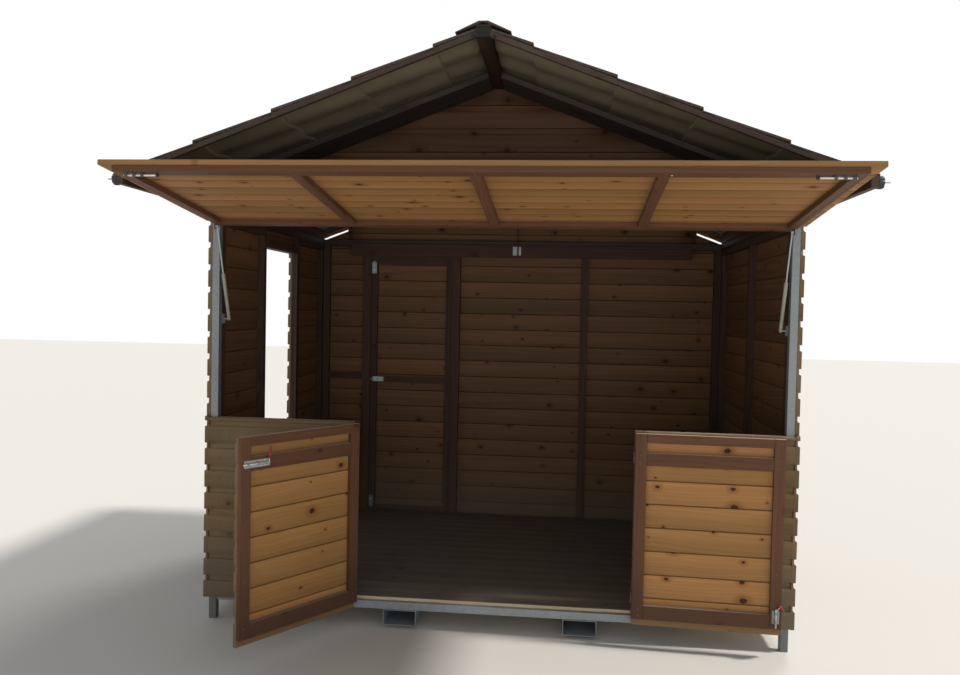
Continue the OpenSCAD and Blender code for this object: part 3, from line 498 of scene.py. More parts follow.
def grow(tree, values, carrier=None):
    """Evaluates a geometry tree with these inputs and returns a plain mesh."""
    mesh = carrier or bpy.data.meshes.new("carrier")
    holder = bpy.data.objects.new("carrier", mesh)
    bpy.context.scene.collection.objects.link(holder)
    modifier = holder.modifiers.new("grow", "NODES")
    modifier.node_group = tree
    sockets = {i.name: i.identifier for i in tree.interface.items_tree
               if i.item_type == "SOCKET" and i.in_out == "INPUT"}
    for label, value in values.items():
        modifier[sockets[label]] = value
    graph = bpy.context.evaluated_depsgraph_get()
    graph.update()
    made = bpy.data.meshes.new_from_object(holder.evaluated_get(graph), depsgraph=graph)
    holder.modifiers.clear()
    bpy.data.objects.remove(holder)
    return made


def marked(t, mesh, value, selection=True):
    """Marks faces as outside (1) or inside (0)."""
    return t.store(mesh, "outside", value, "FLOAT", "FACE", selection)


def thickened(t, sheet, outward, moved_low, rim=0.0):
    """Makes a sheet a closed solid. moved_low is its lower side, rim how its edges are marked."""
    sheet = marked(t, sheet, 1.0)
    # The offset has to be linked, because the node takes the normal in place of a plain value
    drop = t.put("GeometryNodeExtrudeMesh", {
        "Mesh": sheet, "Offset": t.vector(*outward), "Offset Scale": -0.004, "Individual": False},
        mode="FACES")
    low = t.placed(drop, Selection=drop["Top"], Position=moved_low)
    closed = marked(t, marked(t, low, 0.0), rim, drop["Side"])
    both = t.put("GeometryNodeJoinGeometry", {0: t.put("GeometryNodeFlipFaces", {"Mesh": closed})})
    t.feed(both.socket.node, {0: sheet})
    return t.put("GeometryNodeMergeByDistance", {"Geometry": both, "Distance": 0.00001})


def by_row(t, row, values):
    """Picks one of these values by row number."""
    node = t.put("GeometryNodeIndexSwitch", data_type="FLOAT").socket.node
    while len(node.index_switch_items) < len(values):
        node.index_switch_items.new()
    t.feed(node, {"Index": row, **dict(enumerate(values, 1))})
    return Wire(t, node.outputs[0])


def crisp(t, mesh, limit):
    """Smooth faces, with the sharp edges kept."""
    smooth = t.put("GeometryNodeSetShadeSmooth", {"Geometry": mesh, "Shade Smooth": True}, domain="FACE")
    hard = t.put("FunctionNodeCompare", {0: t.put("GeometryNodeInputMeshEdgeAngle"), 1: limit},
                 data_type="FLOAT", operation="GREATER_THAN")
    return t.put("GeometryNodeSetShadeSmooth", {
        "Geometry": smooth, "Selection": hard, "Shade Smooth": False}, domain="EDGE")


def repeated(t, points, shape, **ins):
    return t.put("GeometryNodeInstanceOnPoints", {"Points": points, "Instance": shape, **ins})


def realized(t, instances):
    return t.put("GeometryNodeRealizeInstances", {"Geometry": instances})


def finish_shape(t, ins, sink, geometry):
    """Sets the material and ends the tree."""
    t.feed(sink, {"Geometry": t.put("GeometryNodeSetMaterial", {
        "Geometry": geometry, "Material": ins["Material"]})})
    return t.tree


def board_tree():
    """Scooped shiplap boards, stacked upwards: x along, y outwards from the flat inner face, z up."""
    t, ins, sink = group("Shiplap boards", "GeometryNodeTree", {
        "Length": 1.0, "Cover": 0.1175, "Thickness": 0.022, "Scoop depth": 0.011, "Scoop height": 0.03,
        "Lap": 0.001, "Groove": 0.003, "Wander": 0.002, "First": 0, "Count": 8, "Seed": 1,
        "Material": "Material"}, {"Geometry": "Geometry"})
    top, face, deep, lap, groove = (ins[k] for k in ("Cover", "Thickness", "Scoop depth", "Lap", "Groove"))
    scoop, sunk = top - ins["Scoop height"], face - deep
    # (height, outward) of each row of points on the outer face, and on the inner face behind it
    outer = [
        (lap, face - 0.0024), (lap + 0.0007, face - 0.0008), (lap + 0.0024, face), (scoop * 0.35, face),
        (scoop * 0.7, face), (scoop - 0.0016, face), (scoop + 0.0002, face - deep * 0.08),
        (scoop + 0.0014, face - deep * 0.55), (scoop + 0.004, face - deep * 0.87), (scoop + 0.01, sunk),
        (top - 0.009, sunk), (top - lap, sunk)]
    inner = [
        (-0.0001, groove), (groove, 0.0), (groove + 0.004, 0.0), *((z, 0.0) for z, y in outer[3:-2]),
        (top - groove, 0.0), (top + 0.0001, groove)]
    grid = t.put("GeometryNodeMeshGrid", {
        "Size X": ins["Length"], "Size Y": 1.0, "Vertices X": 9, "Vertices Y": len(outer)})
    here = t.position().parts()
    number = t.calc("ROUND", (here[1] + 0.5) * (len(outer) - 1))
    rows = t.store(grid, "row", number, "INT", "POINT")
    row = t.named("row", "INT")
    # A grid's faces point along +z, and the front of the boards has to point along +y
    front = t.placed(rows, Position=t.vector(
        ins["Length"] * 0.5 + here[0], by_row(t, row, [y for z, y in outer]),
        by_row(t, row, [z for z, y in outer])))
    front = t.put("GeometryNodeFlipFaces", {"Mesh": front})
    low = t.vector(t.position().parts()[0], by_row(t, row, [y for z, y in inner]),
                   by_row(t, row, [z for z, y in inner]))
    plank = t.store(thickened(t, front, (0, 1, 0), low), "grain", t.position(), "FLOAT_VECTOR", "POINT")
    line = t.put("GeometryNodeMeshLine", {
        "Count": ins["Count"], "Offset": t.vector(0.0, 0.0, top),
        "Start Location": t.vector(0.0, 0.0, ins["First"] * top)})
    stack = repeated(t, line, crisp(t, plank, 0.5))
    tone = t.put("FunctionNodeRandomValue", {
        "Min": 0.0, "Max": 1.0, "ID": t.put("GeometryNodeInputIndex") + ins["First"], "Seed": ins["Seed"]},
        data_type="FLOAT")
    real = realized(t, t.store(stack, "tone", tone, "FLOAT", "INSTANCE"))
    # Each board bows a little, in its own way
    bow = t.noise(t.vector(t.position().parts()[0], t.named("tone", "FLOAT") * 50.0, 0.0), 1.3, 1.0)
    bowed = t.placed(real, Offset=t.vector(0.0, (bow - 0.5) * ins["Wander"], 0.0))
    return finish_shape(t, ins, sink, bowed)


def tile_tree():
    """Rows of waved tiles down a slope: x down the slope, y along the eaves, z up."""
    t, ins, sink = group("Tile rows", "GeometryNodeTree", {
        "Depth": 2.9, "Run": 0.34, "First run": 0.2, "Rows": 5, "Fall": 0.38, "Step": 0.014, "Waves": 15.0,
        "Wave height": 0.012, "Thickness": 0.004, "Material": "Material"}, {"Geometry": "Geometry"})
    run, thick, slope = ins["Run"], ins["Thickness"], ins["Fall"] * -1.0
    # Steps down a tile, with one more to the foot of its nose, and points along the eaves
    steps, columns = 8, 241
    width = (steps + 1) / steps
    grid = t.put("GeometryNodeMeshGrid", {
        "Size X": width, "Size Y": 1.0, "Vertices X": steps + 2, "Vertices Y": columns})
    here = t.position().parts()
    share, along = here[0] + width / 2, here[1] + 0.5
    down = t.calc("MINIMUM", share, 1.0)
    nose = t.calc("MAXIMUM", (share - 1.0) * steps, 0.0)
    wave = (1.0 - t.calc("COSINE", along * (ins["Waves"] * (2 * math.pi)))) * (ins["Wave height"] * 0.5)
    x = down * run
    z = (down - nose) * ins["Step"] + wave + x * slope
    top = t.placed(grid, Position=t.vector(x, along * ins["Depth"], z + thick))
    at = t.position().parts()
    low = t.vector(at[0] - thick * 0.8, at[1], at[2] - thick)
    solid = crisp(t, thickened(t, top, (0, 0, 1), low, 1.0), 0.7)
    start = ins["First run"] - run
    rows = t.put("GeometryNodeMeshLine", {
        "Count": ins["Rows"], "Offset": t.vector(run, 0.0, run * slope),
        "Start Location": t.vector(start, 0.0, start * slope)})
    return finish_shape(t, ins, sink, realized(t, repeated(t, rows, solid)))


def screw_tree():
    """A low round head on every point, facing along the point's own direction."""
    t, ins, sink = group("Screw heads", "GeometryNodeTree", {
        "Points": "Geometry", "Radius": 0.004, "Height": 0.0012, "Material": "Material"},
        {"Geometry": "Geometry"})
    head = t.put("GeometryNodeMeshCone", {
        "Vertices": 12, "Radius Top": ins["Radius"] * 0.7, "Radius Bottom": ins["Radius"],
        "Depth": ins["Height"]}, fill_type="NGON")
    facing = t.named("facing", "FLOAT_VECTOR")
    turned = t.put("FunctionNodeAlignRotationToVector", {"Vector": facing}, axis="Z")
    spots = t.put("GeometryNodeMeshToPoints", {"Mesh": ins["Points"]})
    return finish_shape(t, ins, sink, realized(t, repeated(t, spots, head, Rotation=turned)))


# Pieces

def add_piece(name, mesh, node, replaces=True):
    """A piece that rides with a CAD node, in the node's place or beside it."""
    piece = bpy.data.objects.new(name, mesh)
    bpy.context.scene.collection.objects.link(piece)
    if replaces:
        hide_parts(node)
    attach(piece, BODY_OF[node])
    SLOT_OF[node]


def add_solid(name, bm, finish, node, replaces=True):
    """A piece from a bmesh, with this finish."""
    mesh = bpy.data.meshes.new(name)
    bm.normal_update()
    bm.to_mesh(mesh)
    bm.free()
    mesh.materials.append(MATERIALS[finish])
    add_piece(name, mesh, node, replaces)


def cut(bm, point, normal):
    """Takes away what lies beyond a plane and closes the cut."""
    sliced = bmesh.ops.bisect_plane(
        bm, geom=bm.verts[:] + bm.edges[:] + bm.faces[:], dist=0.00001, plane_co=point, plane_no=normal,
        clear_outer=True)
    open_rim = [e for e in sliced["geom_cut"] if isinstance(e, bmesh.types.BMEdge) and e.is_boundary]
    if open_rim:
        bmesh.ops.holes_fill(bm, edges=open_rim, sides=0)


def board_stack(length, low, high, finish, seed, cuts=(), foot=0.0, weathered=True, **changed):
    """Boards in their own frame, from height low to high above the first joint. Their ends and
    edges are weathered like the outer face, or fresh like the inner face."""
    s = bpy.context.scene.stall_sizes
    cover = changed.get("Cover", s.cover)
    first = math.floor(low / cover + 0.0001)
    last = math.ceil(high / cover - 0.0001)
    mesh = grow(SHARED["boards"], {
        "Length": length, "Cover": cover, "Thickness": s.board_t - 0.0005, "Scoop depth": s.scoop_d,
        "Scoop height": s.scoop_h, "Lap": s.lap, "Groove": s.groove, "Wander": 0.0009, "First": first,
        "Count": last - first, "Seed": seed, "Material": MATERIALS[finish], **changed})
    bm = bmesh.new()
    bm.from_mesh(mesh)
    bpy.data.meshes.remove(mesh)
    if low - first * cover > 0.0005:
        cut(bm, (0, 0, low), (0, 0, -1))
    if last * cover - high > 0.0005:
        cut(bm, (0, 0, high), (0, 0, 1))
    # The lowest board reaches below its joint by foot, and a free edge has no dark joint along it
    grain = bm.verts.layers.float_vector["grain"]
    rise = Vector((0, 0, (0.0 if weathered else 0.008) - foot))
    for v in bm.verts:
        if v.co.z < first * cover + 0.004:
            v.co.z -= foot
            v[grain] = v[grain] + rise
    for point, normal in cuts:
        cut(bm, point, normal)
    outside = bm.faces.layers.float["outside"]
    bm.normal_update()
    for face in bm.faces:
        if weathered and face.normal.y > -0.5 and face.calc_center_median().y > s.groove:
            face[outside] = 1.0
    return bm


def planked(node, stacks, finish):
    """Boards from (bmesh, matrix) pairs, in place of a node."""
    whole = bmesh.new()
    for bm, matrix in stacks:
        bm.transform(matrix)
        part = bpy.data.meshes.new("part")
        bm.to_mesh(part)
        bm.free()
        whole.from_mesh(part)
        bpy.data.meshes.remove(part)
    add_solid(node + "_planks", whole, finish, node)


def turn(axis, degrees):
    return Matrix.Rotation(math.radians(degrees), 4, axis)


def shift(x, y, z):
    return Matrix.Translation((x, y, z))


MIRROR = Matrix.Scale(-1, 4, (1, 0, 0))


def wall(node, side, seed, finish="wall_boards", regions=((),), bands=None):
    """Boards in place of an upright wall node. bands are (low, high, front trim) heights."""
    s = bpy.context.scene.stall_sizes
    lo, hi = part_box(node)
    stacks = []
    for low, high, trim in bands or [(lo.z, hi.z, 0.0)]:
        length = hi.x - lo.x if side in ("front", "back") else hi.y - lo.y - trim
        corner = {"back": (lo.x, lo.y), "front": (hi.x, hi.y), "right": (lo.x, hi.y),
                  "left": (hi.x, lo.y + trim)}
        for cuts in regions:
            bm = board_stack(length, low - s.datum, high - s.datum, finish, seed, cuts)
            stacks.append((bm, shift(*corner[side], s.datum) @ turn("Z", FACING[side])))
    planked(node, stacks, finish)


def cad_copy(node):
    """A CAD node's shape with its loose triangles merged."""
    bm = bmesh.new()
    bm.from_mesh(frame["nodes"][node].data)
    bmesh.ops.remove_doubles(bm, verts=bm.verts, dist=0.00002)
    bmesh.ops.dissolve_limit(bm, angle_limit=math.radians(0.5), verts=bm.verts, edges=bm.edges)
    return bm


def soften(bm, width):
    """Rounds the sharp edges a little."""
    sharp = [e for e in bm.edges if len(e.link_faces) == 2 and e.calc_face_angle(0) > math.radians(40)]
    bmesh.ops.bevel(bm, geom=sharp, offset=width, segments=2, profile=0.5, affect="EDGES", clamp_overlap=True)


def islands(bm):
    """The connected groups of vertices."""
    found, seen = [], set()
    for start in bm.verts:
        if start in seen:
            continue
        seen.add(start)
        members, front = [start], [start]
        while front:
            v = front.pop()
            for e in v.link_edges:
                o = e.other_vert(v)
                if o not in seen:
                    seen.add(o)
                    members.append(o)
                    front.append(o)
        found.append(members)
    return found


def eased(node, finish, width, first_tone=0.0):
    """A copy of a CAD node with eased edges and grain along each member."""
    bm = cad_copy(node)
    soften(bm, width)
    grain = bm.verts.layers.float_vector.new("grain")
    tone = bm.verts.layers.float.new("tone")
    outside = bm.faces.layers.float.new("outside")
    for count, island in enumerate(islands(bm)):
        edges = {e for v in island for e in v.link_edges}
        longest = max(edges, key=lambda e: round(e.calc_length(), 6))
        along = (longest.verts[1].co - longest.verts[0].co).normalized()
        faces = {f for v in island for f in v.link_faces}
        level = [f for f in faces if abs(f.normal.dot(along)) < 0.2]
        broad = max(level, key=lambda f: round(f.calc_area(), 8))
        out = broad.normal.copy()
        across = out.cross(along).normalized()
        middle = sum((v.co for v in island), Vector()) / len(island)
        for v in island:
            d = v.co - middle
            v[grain] = Vector((d.dot(along), d.dot(out), d.dot(across)))
            v[tone] = (0.37 + 0.618034 * count + first_tone) % 1.0
    for face in bm.faces:
        face[outside] = 1.0
    add_solid(node + "_eased", bm, finish, node)


def sorted_out(node, kind_of, finishes, width=0.0005):
    """Copies a CAD node's solids as one piece for each kind. Kinds without a finish are left out."""
    whole = cad_copy(node)
    kinds = {}
    for island in islands(whole):
        low = Vector([min(v.co[k] for v in island) for k in range(3)])
        high = Vector([max(v.co[k] for v in island) for k in range(3)])
        kinds.setdefault(kind_of((low + high) / 2, island), set()).update(v.index for v in island)
    whole.verts.index_update()
    for kind in sorted(set(kinds) & set(finishes)):
        bm = whole.copy()
        bm.verts.ensure_lookup_table()
        bmesh.ops.delete(bm, geom=[v for v in bm.verts if v.index not in kinds[kind]], context="VERTS")
        soften(bm, width)
        add_solid(f"{node}_{kind}", bm, finishes[kind], node)
    whole.free()


def near_axis(joint, island, reach=0.012):
    """True when a solid has points close to a joint's axis."""
    at, along = Vector(joint["pos_m"]), Vector(joint["axis"]).normalized()
    return any((v.co - at - along * (v.co - at).dot(along)).length < reach for v in island)


# Small solids

def loft(bm, rings, smooth=True):
    """Closes rings of vertices, one after the other, into a solid."""
    for low, high in zip(rings, rings[1:]):
        for n in range(len(low)):
            m = (n + 1) % len(low)
            bm.faces.new((low[n], low[m], high[m], high[n])).smooth = smooth
    bm.faces.new(rings[0][::-1])
    bm.faces.new(rings[-1])


def tube(bm, points, radii, sides=12, place=Matrix()):
    """A closed round rod through these points, with a radius at each."""
    points = [place @ Vector(p) for p in points]
    side, rings = None, []
    for k, (p, r) in enumerate(zip(points, radii)):
        along = (points[min(k + 1, len(points) - 1)] - points[max(k - 1, 0)]).normalized()
        side = along.orthogonal() if side is None else side - along * side.dot(along)
        side.normalize()
        other = along.cross(side)
        turns = [2 * math.pi * n / sides for n in range(sides)]
        rings.append([bm.verts.new(p + (side * math.cos(a) + other * math.sin(a)) * r) for a in turns])
    loft(bm, rings)


def ball(bm, centre, radius, along, place=Matrix()):
    """A round ball, with a small flat at each end of its axis."""
    steps = [math.pi * (0.06 + 0.88 * k / 8) for k in range(9)]
    tube(bm, [Vector(centre) - Vector(along) * radius * math.cos(a) for a in steps],
         [radius * math.sin(a) for a in steps], 14, place)


def stud(bm, x, y, levels, radii, sides, place):
    """A low round head that stands off the face at (x, y)."""
    tube(bm, [(x, y, z) for z in levels], radii, sides, place)


def prism(bm, outline, low, high, place=Matrix(), bevel=0.0):
    """A solid with this counter-clockwise outline in x and y, from z low to z high."""
    cx = sum(x for x, y in outline) / len(outline)
    cy = sum(y for x, y in outline) / len(outline)
    size = max(abs(x - cx) for x, y in outline)
    levels = [(low, 1.0), (high, 1.0)]
    if bevel:
        levels = [(low, 1.0), (high - bevel, 1.0), (high, 1 - bevel / size)]
    loft(bm, [[bm.verts.new(place @ Vector((cx + (x - cx) * k, cy + (y - cy) * k, z))) for x, y in outline]
              for z, k in levels], smooth=False)


def rounded(x0, y0, x1, y1, radius):
    """Outline of a rectangle with round corners."""
    middles = ((x1 - radius, y1 - radius, 0), (x0 + radius, y1 - radius, 90),
               (x0 + radius, y0 + radius, 180), (x1 - radius, y0 + radius, 270))
    return [(x + radius * math.cos(math.radians(a + t)), y + radius * math.sin(math.radians(a + t)))
            for x, y, a in middles for t in (0, 30, 60, 90)]


# From an outline in y and z, drawn in x and y, to a solid along x
ALONG_X = Matrix(((0, 0, 1, 0), (1, 0, 0, 0), (0, 1, 0, 0), (0, 0, 0, 1)))


def upright(y):
    """From an outline in x and z, drawn in x and y, to a solid that stands off the plane y to the front."""
    return Matrix(((1, 0, 0, 0), (0, 0, -1, y), (0, 1, 0, 0), (0, 0, 0, 1)))


def tower_bolt(name, node, place, plate, shoot, lever=None, sleeve=None, ends="zinc_bolt",
               finish="zinc_bolt"):
    """A bolt on a face: x along its shoot, z off the face. plate and shoot are (from, to) along x."""
    s = bpy.context.scene.stall_sizes
    half, lift, plate_t = s.bolt_width / 2, s.bolt_lift, 0.002
    body = bmesh.new()
    prism(body, rounded(plate[0], -half, plate[1], half, 0.004), 0.0, plate_t, place, 0.0006)
    # The keepers arch over the shoot and stand on flat feet, which reach out to foot on each side
    foot, foot_top, arch_r = half * 0.72, 0.0036, 0.0075
    arch = [(math.cos(math.radians(a)) * arch_r, lift + math.sin(math.radians(a)) * arch_r)
            for a in range(0, 181, 20)]
    arch = [(foot, plate_t), (foot, foot_top), (arch_r + 0.0003, foot_top), *arch,
            (-arch_r - 0.0003, foot_top), (-foot, foot_top), (-foot, plate_t)]
    length = plate[1] - plate[0]
    for share in ((0.1, 0.5, 0.9) if length > 0.08 else (0.16, 0.84)):
        middle = plate[0] + share * length
        prism(body, arch, middle - 0.006, middle + 0.006, place @ ALONG_X)
    for x in (plate[0] + 0.007, plate[0] + length * 0.3, plate[0] + length * 0.7, plate[1] - 0.007):
        for y in (-half + 0.005, half - 0.005):
            stud(body, x, y, (0.0015, 0.0027, 0.0031), (0.0026, 0.0024, 0.0014), 10, place)
    add_solid(name + "_plate", body, finish, node)
    rod = bmesh.new()
    tip, rod_r = 0.0015, 0.005
    tube(rod, [(x, 0, lift) for x in (shoot[0], shoot[0] + tip, shoot[1] - tip, shoot[1])],
         [0.0036, rod_r, rod_r, 0.0036], 16, place)
    if lever:
        tube(rod, lever, [0.0026] * len(lever), 10, place)
    add_solid(name + "_shoot", rod, "bright_steel", node)
    grip = bmesh.new()
    if sleeve:
        a, b = Vector(sleeve[0]), Vector(sleeve[1])
        tube(grip, [a, a.lerp(b, 0.04), a.lerp(b, 0.9), b], [0.0036, 0.0046, 0.0046, 0.003], 14, place)
    else:
        ball(grip, (shoot[0] + 0.004, 0, lift), 0.0078, (1, 0, 0), place)
    add_solid(name + "_grip", grip, "red_sleeves" if sleeve else ends, node)


def heads(name, node, spots, radius, height, finish):
    """Small round heads at these (point, facing) spots, in one piece."""
    points = bpy.data.meshes.new("spots")
    points.from_pydata([tuple(p) for p, n in spots], [], [])
    layer = points.attributes.new("facing", "FLOAT_VECTOR", "POINT")
    for k, (p, n) in enumerate(spots):
        layer.data[k].vector = tuple(n)
    mesh = grow(SHARED["screws"], {"Radius": radius, "Height": height, "Material": MATERIALS[finish]}, points)
    mesh.name = name
    add_piece(name, mesh, node, replaces=False)


def leaf_matrix(side):
    """From a leaf's own frame, closed, to its place at rest."""
    s = bpy.context.scene.stall_sizes
    x, y, z = JOINTS[side + "_leaf_hinge"]["pos_m"]
    return shift(x, y, 0) @ Matrix.Rotation(-s.left_open if side == "left" else s.right_open, 4, "Z")


def hatch_matrix():
    """From the hatch's own frame, shut, to its place at rest."""
    s = bpy.context.scene.stall_sizes
    return shift(*JOINTS["hatch_hinge"]["pos_m"]) @ Matrix.Rotation(-s.hatch_open, 4, "X")


def outward(place):
    """Where y of a frame points in the world."""
    return (place.to_3x3() @ Vector((0, 1, 0))).normalized()


class STALL_OT_finishes(bpy.types.Operator):
    """Make the finishes and the geometry trees"""

    bl_idname = "stall.finishes"
    bl_label = "Finishes"

    def execute(self, context):
        c, s = context.scene.stall_colours, context.scene.stall_sizes
        SHARED.update(wood=sawn_wood(), weather=weather(), spangle=spangle(), boards=board_tree(),
                      tiles=tile_tree(), screws=screw_tree())
        wood("wall_boards", "inner", "outer", knots=0.5, grey=0.7, variation=0.34, dirt=0.8, rings=0.4,
             cover=s.cover, top_light=0.22)
        # The gable boards' outer colour is partly painted shade
        wood("gable_boards", "inner", "gable", knots=0.6, grey=0.1, variation=0.4, rings=0.45, cover=s.cover)
        wood("pine_boards", "pine", "outer", knots=0.8, grey=0.5, rings=0.3, rough=0.66, cover=s.cover,
             stain_z=0.155, top_light=0.8)
        # The hatch's pine holds painted shade: it is the leaves' pine, darkened
        wood("hatch_pine", "hatch", "outer", knots=0.7, grey=0.5, rings=0.3, variation=0.22, rough=0.7,
             cover=s.cover)
        wood("brown_battens", "batten", knots=0.25, rings=0.45, rough=0.6, dirt=0.6, top_light=0.7,
             dust=(0.05, 0.028, 0.019))
        wood("edge_boards", "edge", rings=0.45, variation=0.25, grey=0.2, rough=0.66)
        wood("dark_timber", "dark", rough=0.66, dirt=0.3, top_light=0.25)
        wood("soffit_boards", "soffit", rough=0.7)
        # The floor is painted lighter near its front edge, as light falling in at the open front
        wood("floor_boards", "sawn", "floor", grey=0.3, rough=0.8, dirt=0.3, cover=s.plank,
             front=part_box("floor")[0].y)
        # The base frame's zinc is made lighter as painted light from the ground, the corner posts' zinc darker as
        # painted shade
        for name, base, crystal, stain, metal in (
                ("zinc", c.zinc, 70.0, 0.4, 0.1), ("shaded_post_zinc", c.shaded_post, 90.0, 0.35, 0.35),
                ("zinc_bolt", c.bolt_zinc, 320.0, 0.15, 0.5), ("bright_steel", c.bright, 600.0, 0.05, 0.75)):
            zinc_metal(name, base, crystal, stain, metal)
        # The eaves frame's dark brown is painted shade
        for name, base, rough in (
                ("shaded_eaves", c.shaded_eaves, 0.5), ("strut_paint", c.strut_paint, 0.38),
                ("black_plastic", c.black, 0.42), ("ridge_box", c.ridge_box, 0.85),
                ("dull_screws", c.screw, 0.45), ("red_sleeves", c.red, 0.5)):
            plain_coat(name, base, rough)
        dark_metal("dark_steel", c.dark_steel, c.rust)
        tile_metal("roof_tiles", c.tile_top, c.tile_under, c.moss)
        return {"FINISHED"}


class STALL_OT_walls(bpy.types.Operator):
    """Board the walls and gables"""

    bl_idname = "stall.walls"
    bl_label = "Wall boards"

    def execute(self, context):
        s = context.scene.stall_sizes
        wall("front_left_wall", "front", 11)
        wall("front_right_wall", "front", 12)
        # Above the counter, the side walls stand back by a board's thickness, to clear the hatch
        for node, side, seed in (("right_wall", "right", 13), ("left_wall_front", "left", 14)):
            lo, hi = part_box(node)
            lip = s.counter + 0.005
            wall(node, side, seed, bands=[(lo.z, lip, 0.0), (lip, hi.z, s.board_t)])
        wall("left_wall_rear", "left", 15)
        wall("left_wall_head", "left", 16)
        at_the_back = ("back_wall_left", "back_wall_right", "back_wall_head", "back_door_boards")
        for seed, node in enumerate(at_the_back, 17):
            wall(node, "back", seed)
        slope = math.tan(s.roof_pitch)
        lo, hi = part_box("front_gable")
        half = (hi.x - lo.x) / 2
        apex = Vector((half, 0, hi.z - s.datum))
        under_roof = [(apex, (slope, 0, 1)), (apex, (-slope, 0, 1))]
        wall("front_gable", "front", 21, "gable_boards", [under_roof])
        # The back gable has a slot parallel to the roof at each end
        between = [((2 * half - s.slit_length, 0, 0), (1, 0, 0)), ((s.slit_length, 0, 0), (-1, 0, 0))]
        regions = [[*under_roof, *between]]
        for side in (-1, 1):
            end = ((half + side * (half - s.slit_length), 0, 0), (-side, 0, 0))
            line = Vector((side * slope, 0, 1))
            top, foot = (apex - Vector((0, 0, drop)) for drop in (s.slit_drop, s.slit_drop + s.slit_height))
            regions += [[*under_roof, end, (top, -line)], [end, (foot, line)]]
        wall("back_gable", "back", 22, "gable_boards", regions)
        return {"FINISHED"}


class STALL_OT_floor(bpy.types.Operator):
    """Lay the floor boards"""

    bl_idname = "stall.floor"
    bl_label = "Floor boards"

    def execute(self, context):
        lo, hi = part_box("floor")
        depth = hi.y - lo.y
        bm = board_stack(hi.x - lo.x, 0.0, depth, "floor_boards", 51, weathered=False, **{
            "Cover": depth / round(depth / context.scene.stall_sizes.plank), "Thickness": hi.z - lo.z,
            "Scoop depth": 0.0, "Lap": 0.0008, "Groove": 0.001, "Wander": 0.0})
        lay = Matrix(((-1, 0, 0, hi.x), (0, 0, 1, lo.y), (0, 1, 0, lo.z), (0, 0, 0, 1)))
        planked("floor", [(bm, lay)], "floor_boards")
        return {"FINISHED"}


class STALL_OT_leaves(bpy.types.Operator):
    """Board the two front leaves and the hatch"""

    bl_idname = "stall.leaves"
    bl_label = "Leaf and hatch boards"

    def execute(self, context):
        s = context.scene.stall_sizes
        about = turn("Z", 180)
        for side, start, seed in (("left", s.leaf_width, 31), ("right", -s.hinge_edge, 36)):
            bm = board_stack(s.leaf_width - s.hinge_edge, 0.0, s.counter - s.leaf_joint, "pine_boards", seed,
                             foot=s.leaf_joint - s.leaf_foot)
            place = leaf_matrix(side) @ shift(start, s.board_back, s.leaf_joint) @ about
            planked(side + "_leaf_boards", [(bm, place)], "pine_boards")
        bm = board_stack(s.hatch_width, 0.0, s.hatch_length - s.hatch_top_gap, "hatch_pine", 41,
                         weathered=False)
        place = hatch_matrix() @ shift(s.hatch_width / 2, s.board_back, -s.hatch_length) @ about
        planked("hatch_boards", [(bm, place)], "hatch_pine")
        return {"FINISHED"}


class STALL_OT_timbers(bpy.types.Operator):
    """Ease the edges of the battens, studs, roof timbers and edge boards"""

    bl_idname = "stall.timbers"
    bl_label = "Timbers"

    def execute(self, context):
        for k, node in enumerate(("front_wall_frames", "hatch_frame", "left_leaf_frame", "right_leaf_frame")):
            eased(node, "brown_battens", 0.002, 0.13 * k)
        eased("roof_edge_boards", "edge_boards", 0.0015)
        eased("soffit_boards", "soffit_boards", 0.0015)
        for k, node in enumerate(("left_wall_frame", "right_wall_frame", "back_wall_frame", "back_tie_rail",
                                  "ridge_beam", "wall_plates", "back_door_frame")):
            eased(node, "dark_timber", 0.0015, 0.17 * k)
        return {"FINISHED"}


class STALL_OT_steel(bpy.types.Operator):
    """Finish the steel frame, the fork pockets and the struts"""

    bl_idname = "stall.steel"
    bl_label = "Steel"

    def execute(self, context):
        # The corner posts' darker zinc is painted shade, and so is the eaves frame's dark brown
        for node, finish in (
                ("base_frame", "zinc"), ("corner_posts", "shaded_post_zinc"), ("eaves_frame", "shaded_eaves")):
            eased(node, finish, 0.003)
        eased("fork_pockets", "zinc", 0.0008)
        for side in ("left", "right"):
            for part, finish in (("_strut_cylinder", "strut_paint"), ("_strut_rod", "zinc_bolt")):
                mesh = frame["nodes"][side + part].data
                mesh.materials.clear()
                mesh.materials.append(MATERIALS[finish])
        return {"FINISHED"}


